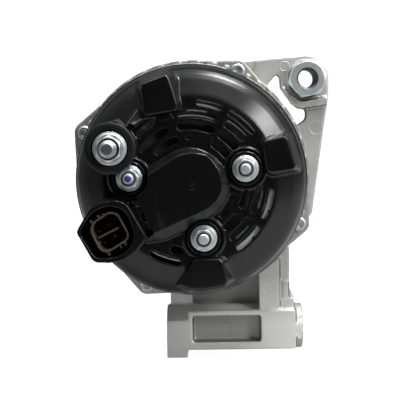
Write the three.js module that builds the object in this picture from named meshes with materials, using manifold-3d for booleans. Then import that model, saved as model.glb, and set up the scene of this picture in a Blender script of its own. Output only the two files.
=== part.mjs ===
// Car alternator, rear-terminal type with internal fans.
// Units are millimetres. +Y runs along the rotor shaft towards the pulley, +Z is up,
// +X is to the right when the rear (terminal) end is faced. The origin is the centre of
// the shaft's outer (pulley) end. Pieces are drawn on the shaft axis, with y = 0 in the
// plane of the lower mounting boss's bolt hole, and the whole is then set back from there.
// Places and outlines across the shaft are [x, z]; angles are degrees from +X towards +Z.
import * as THREE from 'three';
import { mergeVertices } from 'three/addons/utils/BufferGeometryUtils.js';
import Module from 'manifold-3d';

const wasm = await Module();
wasm.setup();

// ---------------------------------------------------------------- helpers for places
const AXIS = [0, 0];
const radians = (degrees) => degrees * Math.PI / 180;
const degrees = (angle) => angle * 180 / Math.PI;
const polar = (radius, angle) => [
  radius * Math.cos(radians(angle)), radius * Math.sin(radians(angle)),
];
const ordered = (a, b) => [Math.min(a, b), Math.max(a, b)];

// places evenly spaced round a circle
const ring = (count, radius, start = 0, [cx, cz] = AXIS) => Array.from({ length: count }, (_, i) => {
  const [x, z] = polar(radius, start + 360 / count * i);
  return [cx + x, cz + z];
});

// ---------------------------------------------------------------- driving dimensions
const SHAFT_END_Y = 93;
const SHAFT_R = 8.5;
const CASING_R = 68.5;          // outer radius of both end frames
const SPLIT_Y = 4;              // joint plane between the two frames
const REAR_JOINT_Y = SPLIT_Y - 0.05;

const CORE_R = 65.0;            // stator core
const CORE_BORE_R = 49.5;
const CORE_Y = [-6, 22];
const CORE_SEAT_R = CORE_R + 0.6;
const CORE_SEAT_Y = [CORE_Y[0] - 0.1, CORE_Y[1] + 0.1];

const BOLT_ANGLES = [66, 156, 246, 336];        // through bolts
const BOLT_CIRCLE_R = 68.0;
const BOLTS = BOLT_ANGLES.map((angle) => polar(BOLT_CIRCLE_R, angle));
const BOLT_SEAT_Y = -22;
const BOLT_HOLE_R = 2.65;

const COVER_RIM_R = 65.7;
const COVER_RIM_Y = -36;
const DECK_Y = -60;             // flat vented deck of the cover
const BRUSH_BOSS_Y = -66;       // top of the raised brush-holder housing
const RAISED_BOX_Y = -64;       // tops of the three other raised boxes
const RAISED_BOX_LOW_Y = -38.5;
const TOWER_Y = -64.5;          // mouth of the tower round the B+ terminal
const TOWER_R = [10.5, 13.7];
const HOOD_Y = -72;             // mouth of the plug hood
const B_PLUS = [-43.0, 19.8];
const COVER_STUDS = [[-33.4, 3.2], [30.3, 7.5], [6.9, -30.4]];
const BRUSH_ANGLE = 210.5;      // direction of the brush holder from the shaft

// bore and od are radii, pitch is the radius of the ball circle, ball is a ball's radius
const FRONT_BRG = { bore: 8.5, od: 23.5, y: [40, 54], pitch: 16, ball: 4.1, count: 7 };
const REAR_BRG = { bore: 7.5, od: 17.5, y: [-38, -27], pitch: 12.5, ball: 2.9, count: 8 };
const BRG_END_GAP = 0.1;
const RETAINER_SCREWS = ring(3, 27.4, 90);
const RETAINER_HOLE_R = 2.12;

const EAR_BUSH = [69.2, 56.9];  // upper mounting ear
const EAR_BUSH_AF = 20.5;
const EAR_BUSH_BORE_R = 5.5;
const FOOT_X = [-17, 64.2];     // lower mounting boss
const FOOT_Z = -91.6;
const FOOT_R = 13.5;
const FOOT_BORE_R = 5.5;

// ---------------------------------------------------------------- finishes
const CAST = { color: 0xb9b8b3, roughness: 0.55, metalness: 0.85 };
const ZINC = { color: 0xc9d2d6, roughness: 0.28, metalness: 1.0 };
const STEEL = { color: 0x8d9094, roughness: 0.4, metalness: 1.0 };
const COPPER = { color: 0xb06a34, roughness: 0.35, metalness: 1.0 };
const BLACK_PLASTIC = { color: 0x1b1c1c, roughness: 0.42, metalness: 0.0 };
const BROWN_PLASTIC = { color: 0x5a4330, roughness: 0.5, metalness: 0.0 };
const GOLD = { color: 0xcda955, roughness: 0.3, metalness: 1.0 };
const GREY_METAL = { color: 0xa6a8a8, roughness: 0.45, metalness: 0.9 };
const CARBON = { color: 0x2b2a2a, roughness: 0.7, metalness: 0.1 };
const DARK_BROWN = { color: 0x3a2a20, roughness: 0.6, metalness: 0 };
const DARK_METAL = { color: 0x2e3032, roughness: 0.4, metalness: 0.9 };

// ---------------------------------------------------------------- solid helpers
const join = (...solids) => solids.flat().reduce((a, b) => a.add(b));
const cut = (body, ...tools) => tools.flat().reduce((a, b) => a.subtract(b), body);

// welds a geometry into a solid, dropping collapsed triangles and facing the rest outwards
function toSolid(geometry) {
  for (const name of Object.keys(geometry.attributes)) {
    if (name !== 'position') geometry.deleteAttribute(name);
  }
  const welded = mergeVertices(geometry, 1e-4);
  const positions = welded.attributes.position.array;
  const index = welded.index.array;
  const corner = (i) => new THREE.Vector3().fromArray(positions, 3 * i);
  const triangles = [];
  let volume = 0;
  for (let i = 0; i < index.length; i += 3) {
    const [a, b, c] = [index[i], index[i + 1], index[i + 2]];
    if (a === b || b === c || c === a) continue;
    triangles.push(a, b, c);
    volume += corner(a).dot(corner(b).cross(corner(c)));
  }
  if (volume < 0) {
    for (let i = 0; i < triangles.length; i += 3) {
      [triangles[i], triangles[i + 1]] = [triangles[i + 1], triangles[i]];
    }
  }
  return new wasm.Manifold(new wasm.Mesh({
    numProp: 3,
    vertProperties: new Float32Array(positions),
    triVerts: new Uint32Array(triangles),
  }));
}

function toGeometry(solid) {
  const mesh = solid.getMesh();
  const geometry = new THREE.BufferGeometry();
  const positions = new Float32Array(mesh.vertProperties);
  geometry.setAttribute('position', new THREE.BufferAttribute(positions, 3));
  geometry.setIndex(new THREE.BufferAttribute(new Uint32Array(mesh.triVerts), 1));
  geometry.computeVertexNormals();
  return geometry;
}

const toVectors = (points) => points.map(([x, z]) => new THREE.Vector2(x, z));

// flat outline carried along Y
function plate(points, [y0, y1], holes = []) {
  const shape = new THREE.Shape(toVectors(points));
  for (const hole of holes) shape.holes.push(new THREE.Path(toVectors(hole)));
  const geometry = new THREE.ExtrudeGeometry(shape, { depth: y1 - y0, bevelEnabled: false });
  geometry.rotateX(Math.PI / 2);
  geometry.translate(0, y1, 0);
  return toSolid(geometry);
}

// profile of [r, y] pairs turned about Y; a profile that stays off the axis closes on itself
function turned(profile, sides, [x, z] = AXIS) {
  const points = toVectors(profile);
  if (profile[0][0] > 0 || profile.at(-1)[0] > 0) points.push(points[0].clone());
  const geometry = new THREE.LatheGeometry(points, sides);
  geometry.translate(x, 0, z);
  return toSolid(geometry);
}

const rod = (at, radius, [y0, y1], sides = 16) => turned(
  [[0, y0], [radius, y0], [radius, y1], [0, y1]], sides, at);
const rods = (places, radius, ySpan, sides) => places.map((at) => rod(at, radius, ySpan, sides));
const tube = (at, [r0, r1], [y0, y1], sides = 20) => turned(
  [[r0, y0], [r1, y0], [r1, y1], [r0, y1]], sides, at);

// round bar parallel to X, through y = 0
function rodX([x0, x1], z, radius, sides) {
  const geometry = new THREE.CylinderGeometry(radius, radius, x1 - x0, sides);
  geometry.rotateZ(Math.PI / 2);
  geometry.translate((x0 + x1) / 2, 0, z);
  return toSolid(geometry);
}

// box between two limits on each axis, turned about the shaft by an angle
function box([x0, x1], [y0, y1], [z0, z1], angle = 0) {
  const geometry = new THREE.BoxGeometry(x1 - x0, y1 - y0, z1 - z0);
  geometry.translate((x0 + x1) / 2, (y0 + y1) / 2, (z0 + z1) / 2);
  geometry.rotateY(-radians(angle));
  return toSolid(geometry);
}
const radialBox = (rSpan, ySpan, halfWidth, angle) => box(
  rSpan, ySpan, [-halfWidth, halfWidth], angle);

const hexagon = (at, acrossFlats, ySpan, angle = 0) => plate(
  ring(6, acrossFlats / Math.sqrt(3), angle, at), ySpan);

// straight-sided solid through rings of [x, y, z] points, all with the same number of corners
function loft(rings) {
  const flat = (points) => points.map(([x, , z]) => new THREE.Vector2(x, z));
  const wound = THREE.ShapeUtils.isClockWise(flat(rings.at(-1)))
    ? rings.map((points) => [...points].reverse())
    : rings;
  const count = wound[0].length;
  const lastStart = (wound.length - 1) * count;
  const index = [];
  for (let start = 0; start < lastStart; start += count) {
    for (let i = 0; i < count; i++) {
      const a = start + i;
      const b = start + (i + 1) % count;
      index.push(a, b, count + a, b, count + b, count + a);
    }
  }
  for (const [a, b, c] of THREE.ShapeUtils.triangulateShape(flat(wound[0]), [])) index.push(c, b, a);
  for (const face of THREE.ShapeUtils.triangulateShape(flat(wound.at(-1)), [])) {
    index.push(...face.map((i) => lastStart + i));
  }
  const geometry = new THREE.BufferGeometry();
  geometry.setAttribute('position', new THREE.Float32BufferAttribute(wound.flat(2), 3));
  geometry.setIndex(index);
  return toSolid(geometry);
}

// raised box: sloped walls from the flat top to the foot points, then walls parallel to Y
const raisedBox = (foot, top, yTop, yLow) => loft([
  top.map(([x, z]) => [x, yTop, z]),
  foot.map(([x, z, y = DECK_Y]) => [x, y, z]),
  foot.map(([x, z]) => [x, yLow, z]),
]);

// ---------------------------------------------------------------- outline helpers
const scaleAbout = (points, [cx, cz], scale) => points.map(
  ([x, z]) => [cx + (x - cx) * scale, cz + (z - cz) * scale]);

// convex outline round a set of points
function hull(points) {
  const sorted = [...points].sort((a, b) => a[0] - b[0] || a[1] - b[1]);
  const side = (list) => {
    const chain = [];
    for (const next of list) {
      while (chain.length > 1) {
        const [a, b] = chain.slice(-2);
        const turn = (b[0] - a[0]) * (next[1] - a[1]) - (b[1] - a[1]) * (next[0] - a[0]);
        if (turn > 1e-9) break;
        chain.pop();
      }
      chain.push(next);
    }
    chain.pop();
    return chain;
  };
  return [...side(sorted), ...side([...sorted].reverse())];
}

// outline of a bolt ear: a rounded nose at the bolt that fairs into the casing on both sides
function earOutline(angle, noseR, halfAngle, casingR) {
  const nose = ring(14, noseR, angle, polar(BOLT_CIRCLE_R, angle));
  const root = [-1, -0.5, 0, 0.5, 1].map((t) => polar(casingR, angle + halfAngle * t));
  return hull([...nose, ...root]);
}

// annular sector between two radii and two angles
function sector([r0, r1], [a0, a1], steps = 2) {
  const arc = (radius) => Array.from(
    { length: steps + 1 }, (_, i) => polar(radius, a0 + (a1 - a0) * i / steps));
  return [...arc(r1), ...arc(r0).reverse()];
}

// ---------------------------------------------------------------- scene helpers
const parts = new THREE.Group();

function addPiece(name, solid, look, [x, z] = AXIS, parent = parts) {
  const mesh = new THREE.Mesh(toGeometry(solid), new THREE.MeshStandardMaterial(look));
  mesh.name = name;
  mesh.position.set(x, 0, z);
  parent.add(mesh);
}

// group whose own x points away from the shaft at an angle
function addRadialGroup(angle, [x, z] = AXIS) {
  const group = new THREE.Group();
  group.position.set(x, 0, z);
  group.rotation.y = -radians(angle);
  parts.add(group);
  return group;
}

// ================================================================= drive-end frame
// upper mounting ear, [x, z]: the edge that its two layers share
const EAR_EDGE = [
  [40.2, 68.9], [47.5, 69.5], [69, 71.1], [73, 70.6], [77.5, 67.9], [82.5, 61.9],
  [82.6, 54.7], [82.5, 46.4], [81.1, 38.1], [71.8, -25.6], [50, -40], [30, 0],
];
const EAR_PLATE = [[0, 60], [20.3, 66.6], ...EAR_EDGE];
const EAR_FACE = [...EAR_EDGE, [36.5, 56]];
const EAR_WINDOW = [
  [44.8, 52.7], [50.6, 59.2], [51.9, 59.4], [53.3, 57.9], [53.6, 51.3], [62.2, 40.0], [64.6, 38.8],
  [68.2, 38.4], [68.8, 36.9], [68.7, 32.7], [66.3, 30.6], [62.0, 28.0], [61.0, 34.0], [50.0, 48.5],
];
const EAR_RIB = [
  [53.7, 51.6], [56.1, 51.5], [59.6, 47.3], [65.6, 43.3], [81.2, 46.0],
  [81.5, 41.2], [65.0, 38.8], [59.6, 40.7], [53.7, 49.2],
];
// inner wall of the shell from the core seat forwards, [r, y]
const DRIVE_INNER_WALL = [
  [CORE_SEAT_R, CORE_SEAT_Y[1]], [62.8, CORE_SEAT_Y[1]], [57.5, 37.5], [48.5, 44.5],
];

function driveEndShell() {
  const seatR = FRONT_BRG.od + 0.3;
  const seatY = [FRONT_BRG.y[0] - BRG_END_GAP, FRONT_BRG.y[1] + BRG_END_GAP];
  return turned([
    [15, 56], [28, 56], [28.5, 50], [50, 49], [61, 41], [67, 29],
    [CASING_R, CORE_Y[1]], [CASING_R, SPLIT_Y], [CORE_SEAT_R, SPLIT_Y], ...DRIVE_INNER_WALL,
    [31.5, 45], [31.5, seatY[0]], [seatR, seatY[0]], [seatR, seatY[1]], [15, seatY[1]],
  ], 24);
}

function mountingEar() {
  return [
    plate(EAR_PLATE, [10.5, 21]),
    plate(EAR_FACE, [8, 21]),
    rod(BOLTS[0], 7.2, [SPLIT_Y, 27], 12),
    rod(EAR_BUSH, 10.6, [5.1, 10], 18),
    rod(EAR_BUSH, 13.2, [9, 33], 18),
    plate(EAR_RIB, [3.5, 9]),
  ];
}

// lower mounting boss with the column and web that carry it
function mountingFoot() {
  const column = [
    box([38.5, 56.6], [-10, 20], [-82, -36]),
    box([38.5, 50.4], [-11.2, 0], [-82, -44]),
    box([50.0, 59.2], [-10, 20], [-82, -73]),
  ];
  const web = [
    box([-15, 40], [6, 20], [-82, -55]),
    box([-15, -1.5], [-2, 8], [-82, -69.5]),
  ];
  const foot = [
    box([-4.1, 60], [-FOOT_R, 8], [-103.4, -79.9]),
    rodX(FOOT_X, FOOT_Z, FOOT_R, 24),
    box([FOOT_X[0], -4.8], [-FOOT_R, 6], [-107.9, -85.0]),
  ];
  return [...column, ...web, ...foot];
}

function driveEndFrame() {
  const rearReach = -30;
  const boltEars = BOLT_ANGLES.slice(1).map(
    (angle) => plate(earOutline(angle, 6.5, 18, 67.5), [SPLIT_Y, 24.5]));
  let frame = join(driveEndShell(), boltEars, mountingEar(), mountingFoot());

  // the rear frame and its ears sit inside this clearance
  const innerBowl = turned([
    [0, SPLIT_Y - 30], [CORE_SEAT_R, SPLIT_Y - 30], ...DRIVE_INNER_WALL, [0, 44.5],
  ], 24);
  const rearClearance = turned(
    [[0, rearReach], [69.3, rearReach], [69.4, SPLIT_Y], [0, SPLIT_Y]], 24);
  frame = cut(frame, rearClearance, innerBowl);
  for (const i of [2, 3, 0]) {
    frame = cut(frame, plate(earOutline(BOLT_ANGLES[i], 7.4, 20, 68.7), [rearReach, SPLIT_Y]));
  }

  frame = cut(frame,
    plate(EAR_WINDOW, [4, 24]),
    rod(EAR_BUSH, 8.1, [0, 40]),
    hexagon(EAR_BUSH, EAR_BUSH_AF + 0.8, [-6, 5.1], 12.5),
    rodX([-20, 70], FOOT_Z, FOOT_BORE_R, 16),
    // casting pocket in the foot's rear face
    box([-1.3, 38.8], [-15, -6.9], [-98.4, -83.1]),
    rods(BOLTS, BOLT_HOLE_R, [SPLIT_Y - 1, 24.6], 10));

  // air windows in the front wall and in the shoulder, which is left whole behind the ear
  for (let i = 0; i < 8; i++) {
    frame = cut(frame, plate(sector([33.5, 47], [45 * i + 5, 45 * i + 38]), [44, 51]));
  }
  for (let i = 0; i < 12; i++) {
    const angle = 30 * i + 21;
    if (angle > 20 && angle < 85) continue;
    frame = cut(frame, radialBox([52.5, 75], [28.5, 42], 5.2, angle));
  }
  return cut(frame, rods(RETAINER_SCREWS, RETAINER_HOLE_R, [39, 47], 8));
}
addPiece('drive_end_frame', driveEndFrame(), CAST);

// ================================================================= rear frame
const REAR_WALL_Y = [-40, -35.4];
// air inlets round the bearing hub, [start, end] angles
const HUB_INLETS = [[28, 68], [80, 120], [132, 160], [189, 230], [240, 268], [298, 355]];

function rearShell() {
  const seatR = REAR_BRG.od + 0.2;
  const seatY = REAR_BRG.y[0] - BRG_END_GAP;
  return turned([
    [9.2, -42], [21.5, -42], [22.5, REAR_WALL_Y[0]], [60.8, REAR_WALL_Y[0]], [63.0, -35.5],
    [66.0, -35.5], [66.3, -33], [67.4, -24], [CASING_R, -12], [CASING_R, REAR_JOINT_Y],
    [CORE_SEAT_R, REAR_JOINT_Y], [CORE_SEAT_R, CORE_SEAT_Y[0]], [62.6, CORE_SEAT_Y[0]],
    [62.6, -30], [60, REAR_WALL_Y[1]], [21.5, REAR_WALL_Y[1]], [21.5, -26.5],
    [seatR, -26.5], [seatR, seatY], [9.2, seatY],
  ], 24);
}

function rearFrame() {
  let frame = rearShell();
  // shoulder windows, left out beside the bolts
  for (let i = 0; i < 20; i++) {
    const angle = 18 * i + 12;
    const toBolt = (bolt) => Math.abs(((angle - bolt + 540) % 360) - 180);
    if (BOLT_ANGLES.some((bolt) => toBolt(bolt) < 7)) continue;
    frame = cut(frame, radialBox([60.5, 72], [-33, -14], 5.2, angle));
  }

  const inside = turned([
    [0, REAR_WALL_Y[1]], [60, REAR_WALL_Y[1]], [62.6, -30], [62.6, CORE_SEAT_Y[0]],
    [CORE_SEAT_R, CORE_SEAT_Y[0]], [CORE_SEAT_R, 10], [0, 10],
  ], 24);
  const ears = BOLT_ANGLES.map(
    (angle) => plate(earOutline(angle, 6.3, 18, 67.5), [BOLT_SEAT_Y, REAR_JOINT_Y]));
  frame = join(frame, cut(join(ears), inside));
  frame = cut(frame,
    rods(BOLTS, BOLT_HOLE_R, [BOLT_SEAT_Y - 3, 6], 10),
    rods(BOLTS, 5.9, [-45, BOLT_SEAT_Y], 10),
    HUB_INLETS.map((angles) => plate(sector([25.5, 39], angles), [-41, -34])));

  const studBosses = rods(COVER_STUDS, 6.0, [-41.8, REAR_WALL_Y[1]], 10);
  return cut(join(frame, studBosses), rods(COVER_STUDS, 3.1, [-43, -36.9], 10));
}
addPiece('rear_frame', rearFrame(), CAST);

// ================================================================= rear cover
// brush-holder housing: flat top and foot on the deck, [x, z]
const BOSS_TOP = [
  [-22.7, 4.6], [-16.1, 8.6], [-7.6, 13.0], [-3.5, 14.3], [0.3, 14.5], [4.6, 13.9], [8.3, 12.5],
  [11.5, 10.2], [14.7, 6.7], [16.5, 2.9], [17.3, -1.5], [16.4, -5.8], [13.9, -10.1],
  [10.0, -13.6], [4.0, -16.5], [-5.8, -20.7], [-14.1, -24.4], [-21.2, -27.6], [-29.3, -10.0],
  [-28.6, -3.6],
];
const BOSS_FOOT = [
  [-25.2, 7.5], [-18.2, 11.4], [-8.0, 17.1], [-4.2, 18.3], [0.2, 19.0], [4.5, 18.4], [9.6, 16.2],
  [13.6, 13.2], [18.5, 7.9], [20.4, 4.0], [21.3, -1.2], [20.6, -6.6], [17.9, -12.0],
  [12.6, -17.6], [4.8, -22.4], [-6.2, -27.4], [-14.5, -30.9], [-24.4, -32.4], [-31.0, -11.4],
  [-30.6, -3.4],
];
// three raised boxes: top as [x, z], foot as [x, z, y] where the walls meet the shell
const RAISED_BOXES = [
  { // upper left
    top: [
      [-25.6, 51.2], [-25.3, 54.3], [-12.6, 59], [-11, 58.2],
      [-10.2, 55.8], [-6.4, 42.2], [-7, 39.7], [-24, 37.2],
    ],
    foot: [
      [-29.9, 52.9, -51], [-28.2, 58.8, -40.5], [-14.5, 63.5, -40.5], [-10.7, 64, -41],
      [-5.4, 57.1, -54.2], [-3.4, 42, -59.9], [-6.2, 38.6, -59.9], [-24.7, 35.4, -59.9],
    ],
  },
  { // right
    top: [
      [39.9, 20.9], [41.8, 22.5], [51.5, 24.8], [53.2, 23.7],
      [57.3, 8.6], [56.3, 6.6], [43.7, 5], [42.1, 6.5],
    ],
    foot: [
      [38.1, 21.7, -59.9], [41, 24.9, -59.8], [54.3, 28.8, -50.2], [58.1, 26.5, -44],
      [63.3, 9.5, -44.5], [62.6, 4.1, -47], [44.2, 2.2, -59.9], [40.7, 4.7, -59.9],
    ],
  },
  { // bottom
    top: [
      [1.5, -42.2], [15.3, -42], [16.9, -43.7], [19.3, -55.1],
      [17.6, -57.3], [5.9, -59.2], [-2.4, -58.6], [-6.2, -56],
    ],
    foot: [
      [-0.3, -40.9, -59.9], [17.2, -40.4, -59.9], [20.5, -43.9, -59.9], [23.5, -54.6, -53.3],
      [21.5, -61.6, -44], [7.1, -65, -42], [-4.8, -65, -42], [-10.4, -57.7, -54.1],
    ],
  },
];
// plug hood outlines, [x, z]
const HOOD_OUTER = [
  [-40.9, -7.7], [-48.1, -9], [-54.2, -12.2], [-60.9, -22.9], [-61.7, -25.1], [-53.6, -40.2],
  [-51.2, -41.7], [-42.9, -41.8], [-39, -41.2], [-34.6, -39.4], [-30.1, -36.1], [-25.5, -30.4],
  [-24.5, -29], [-24.4, -27.3], [-29.1, -18.9], [-31.8, -13.9], [-33.9, -10.6], [-37.1, -8.6],
];
const HOOD_INNER = [
  [-43.1, -11.0], [-48.0, -11.8], [-52.9, -14.4], [-56.2, -18.4], [-59.5, -24.2], [-59.5, -26.2],
  [-52.9, -37.5], [-50.6, -39.2], [-44.9, -39.2], [-39.5, -38.3], [-34.8, -35.4], [-32.0, -31.9],
  [-30.9, -28.3], [-31.2, -23.3], [-33.5, -16.6], [-37.2, -12.4],
];
const HOOD_FLOOR_OPENING = [
  [-44.6, -13.4], [-40.6, -13.6], [-38.4, -15.0], [-32.8, -25.6], [-32.6, -28.6], [-34.0, -30.6],
  [-42.9, -36.3], [-45.8, -37.7], [-49.6, -37.1], [-51.6, -34.8], [-55.3, -24.9], [-54.9, -21.4],
  [-53.0, -18.5],
];
const TERMINAL_WINDOW = [
  [-31.5, -13.8], [-32.4, -9.8], [-30.4, -8.9], [-28.9, -8.7],
  [-20.8, -26.8], [-23.9, -29.2], [-24.1, -27.4], [-28.8, -18.8],
];
const TOWER_FIN = [[-47.0, 33.0], [-39.4, 35.1], [-33.6, 30.6], [-43, 25]];
const RIM_NOTCH = [[-12.2, -67], [-12.2, -61.5], [-4.1, -61.5], [-1.0, -63.5], [0.5, -67]];
// concentric rows of vent slots; spans are [start, end] angles
const VENT_ROWS = [
  { radius: 44.3, halfWidth: 2.1, spans: [[66, 85], [36, 60], [-27, -6], [-56, -35], [239, 262]] },
  {
    radius: 37.8, halfWidth: 2.2,
    spans: [[67, 103], [38, 59], [-26, -3], [-55, -33], [253, 262], [107, 138]],
  },
  { radius: 31.0, halfWidth: 2.3, spans: [[66, 101], [36, 58], [-26, -9], [-54, -36], [113, 146]] },
  { radius: 24.6, halfWidth: 2.0, spans: [[-49, -16], [106, 138], [36, 58]] },
];

function ventSlots() {
  return VENT_ROWS.flatMap(({ radius, halfWidth, spans }) => spans.map(
    (angles) => plate(sector([radius - halfWidth, radius + halfWidth], angles), [-66, -50])));
}

function rearCover() {
  const outer = turned([
    [0, DECK_Y], [46.3, DECK_Y], [48.9, -59.2], [57.2, -54.5], [61.8, -50.4], [64.5, -44],
    [COVER_RIM_R, COVER_RIM_Y], [0, COVER_RIM_Y],
  ], 32);
  const inner = turned([
    [0, -57.8], [46.6, -57.5], [56.0, -52.4], [60.6, -47.6],
    [63.5, COVER_RIM_Y + 1], [0, COVER_RIM_Y + 1],
  ], 32);
  const studCups = COVER_STUDS.map((at) => turned(
    [[0, -59], [11.7, -59], [11.7, -61.2], [10.7, -62.2], [0, -62.2]], 14, at));

  let cover = join(outer,
    raisedBox(BOSS_FOOT, BOSS_TOP, BRUSH_BOSS_Y, DECK_Y + 0.5),
    RAISED_BOXES.map(({ foot, top }) => raisedBox(foot, top, RAISED_BOX_Y, RAISED_BOX_LOW_Y)),
    studCups,
    rod(B_PLUS, TOWER_R[1], [TOWER_Y, -44], 20),
    plate(TOWER_FIN, [TOWER_Y, -50]));
  cover = cut(cover, inner);
  // tower wall and plug hood, the hood carried on inside down to the cover's inner face
  cover = join(cover,
    tube(B_PLUS, TOWER_R, [TOWER_Y, -55.2]),
    plate(HOOD_OUTER, [HOOD_Y, -48]),
    cut(plate(HOOD_OUTER, [-48.5, -38]), inner));

  cover = cut(cover,
    plate(HOOD_INNER, [HOOD_Y - 1, -50]),
    plate(scaleAbout(BOSS_TOP, [-3, -5], 0.88), [BRUSH_BOSS_Y + 2.2, DECK_Y + 5]),
    rod(B_PLUS, TOWER_R[0], [-70, -40], 20));
  for (const at of COVER_STUDS) {
    cover = cut(cover, rod(at, 9.2, [-64, -61.0], 14), rod(at, 3.3, [-64, -50], 8));
  }
  return cut(cover,
    plate(HOOD_FLOOR_OPENING, [-51, -47]),
    ventSlots(),
    plate(TERMINAL_WINDOW, [-63, -56]),
    plate(RIM_NOTCH, [-41, -35]));
}
addPiece('rear_cover', rearCover(), BLACK_PLASTIC);

// ================================================================= stator
const SLOTS = 36;

function statorCore() {
  const slotHalfWidth = 1.55;
  const slotFloorR = 58.6;
  const halfAngle = (radius) => degrees(Math.asin(slotHalfWidth / radius));
  const bore = Array.from({ length: SLOTS }, (_, i) => {
    const angle = 360 / SLOTS * i;
    return [
      polar(CORE_BORE_R, angle - halfAngle(CORE_BORE_R)),
      polar(slotFloorR, angle - halfAngle(slotFloorR)),
      polar(slotFloorR, angle + halfAngle(slotFloorR)),
      polar(CORE_BORE_R, angle + halfAngle(CORE_BORE_R)),
    ];
  }).flat();
  return plate(ring(36, CORE_R), CORE_Y, [bore]);
}

// two end rings joined by a bar through each slot
function statorWinding() {
  const rearRing = tube(AXIS, [50.4, 60], [-26, -8], 36);
  const frontRing = tube(AXIS, [50.4, 56.5], [24, 37], 36);
  const bars = Array.from(
    { length: SLOTS }, (_, i) => radialBox([50.9, 58.3], [-9, 25], 1.3, 360 / SLOTS * i));
  return join(rearRing, frontRing, bars);
}
addPiece('stator_core', statorCore(), STEEL);
addPiece('stator_winding', statorWinding(), COPPER);

// ================================================================= rectifier
const RECTIFIER_CUT_Y = [-60, -40];     // long enough to pierce any of its plates
const POSITIVE_SINK_Y = [-54, -52];
const NEGATIVE_SINK_Y = [-46, -43.6];
const POSITIVE_DIODES = [125, 62, -14].map((angle) => polar(43.5, angle));
const NEGATIVE_DIODES = [93, 30, -45].map((angle) => polar(48.5, angle));
const DIODE_R = 6.3;
const DIODE_HOLE_R = DIODE_R + 0.15;

function positiveHeatSink() {
  const sink = join(
    plate(sector([37, 52], [-62, 170], 12), POSITIVE_SINK_Y),
    plate(sector([27, 38], [-30, 24], 3), POSITIVE_SINK_Y));
  return cut(sink,
    rod(B_PLUS, 4.2, RECTIFIER_CUT_Y, 10),
    rods(POSITIVE_DIODES, DIODE_HOLE_R, RECTIFIER_CUT_Y, 10),
    rods(COVER_STUDS, 5.4, RECTIFIER_CUT_Y, 10));
}

function negativeHeatSink() {
  let sink = cut(plate(sector([40, 58.5], [-84, 186], 14), NEGATIVE_SINK_Y),
    rods(NEGATIVE_DIODES, DIODE_HOLE_R, RECTIFIER_CUT_Y, 10),
    rod(B_PLUS, 8.6, RECTIFIER_CUT_Y, 10));
  // lugs that reach in to the cover studs
  const lugInnerR = [33, 31, 31];
  const lugs = COVER_STUDS.map(([x, z], i) => radialBox(
    [lugInnerR[i], 46], NEGATIVE_SINK_Y, 5, degrees(Math.atan2(z, x))));
  sink = join(sink, lugs, rods(COVER_STUDS, 6, NEGATIVE_SINK_Y, 10));
  return cut(sink, rods(COVER_STUDS, 3.3, RECTIFIER_CUT_Y, 8));
}

// can with a tapered end and a thin lead; direction is the lead's sign along Y
function diode(at, yBase, direction, length) {
  const leadR = 0.7;
  const canLength = 4.6;
  const profile = [
    [0, 0], [DIODE_R, 0], [DIODE_R, canLength], [leadR, canLength + 1], [leadR, length], [0, length],
  ];
  return turned(profile.map(([r, y]) => [r, yBase + direction * y]), 10, at);
}

function rectifierTerminalBlock() {
  return cut(plate(sector([25.5, 36.5], [-84, 150], 10), [-51, -48.2]),
    rods(COVER_STUDS, 3.5, RECTIFIER_CUT_Y, 8));
}

addPiece('positive_heat_sink', positiveHeatSink(), GREY_METAL);
addPiece('negative_heat_sink', negativeHeatSink(), GREY_METAL);
POSITIVE_DIODES.forEach((at, i) => {
  addPiece(`positive_diode_${i + 1}`, diode(at, -54.6, 1, 7.6), GREY_METAL);
});
NEGATIVE_DIODES.forEach((at, i) => {
  addPiece(`negative_diode_${i + 1}`, diode(at, -42.4, -1, 8.1), GREY_METAL);
});
addPiece('rectifier_terminal_block', rectifierTerminalBlock(), BLACK_PLASTIC);

// ================================================================= B+ terminal
function bPlusStud() {
  const headHalfWidth = 5.2;
  return join(
    turned([[0, -82], [3.2, -82], [3.95, -81], [3.95, -51.9], [0, -51.9]], 12, B_PLUS),
    plate(ring(4, headHalfWidth * Math.SQRT2, 225, B_PLUS), [-51.95, -49]));
}

function bPlusNut() {
  const flange = turned(
    [[0, -66.4], [9.6, -66.4], [9.6, -67.6], [7.2, -68.6], [0, -68.6]], 18, B_PLUS);
  return cut(join(flange, hexagon(B_PLUS, 12.6, [-75, -68.5], 20)),
    rod(B_PLUS, 4.1, [-80, -60], 12));
}

function bPlusInsulator() {
  return turned([
    [4.2, -66.3], [10.4, -66.3], [10.8, -67.6], [TOWER_R[1], -67.6], [TOWER_R[1], -64.6],
    [10.2, -64.6], [10.2, -54.1], [4.2, -54.1],
  ], 20, B_PLUS);
}
addPiece('b_plus_stud', bPlusStud(), ZINC);
addPiece('b_plus_nut', bPlusNut(), ZINC);
addPiece('b_plus_insulator', bPlusInsulator(), BLACK_PLASTIC);

// ================================================================= regulator
const REGULATOR_ANGLE = 252;

function voltageRegulator() {
  const finPitch = 3.2;
  const finHalfWidth = 0.8;
  const fins = [-3, -2, -1, 0, 1, 2, 3].map((i) => box([-5.5, 6.5], [-52.6, -49.9],
    [i * finPitch - finHalfWidth, i * finPitch + finHalfWidth]));
  return join(
    box([-6, 8], [-50, -46.4], [-11.5, 11.5]),
    box([-5, 7], [-46.5, -43], [-10, 10]),
    fins);
}
addPiece('voltage_regulator', voltageRegulator(), BLACK_PLASTIC, AXIS,
  addRadialGroup(REGULATOR_ANGLE, polar(43, REGULATOR_ANGLE)));

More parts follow.
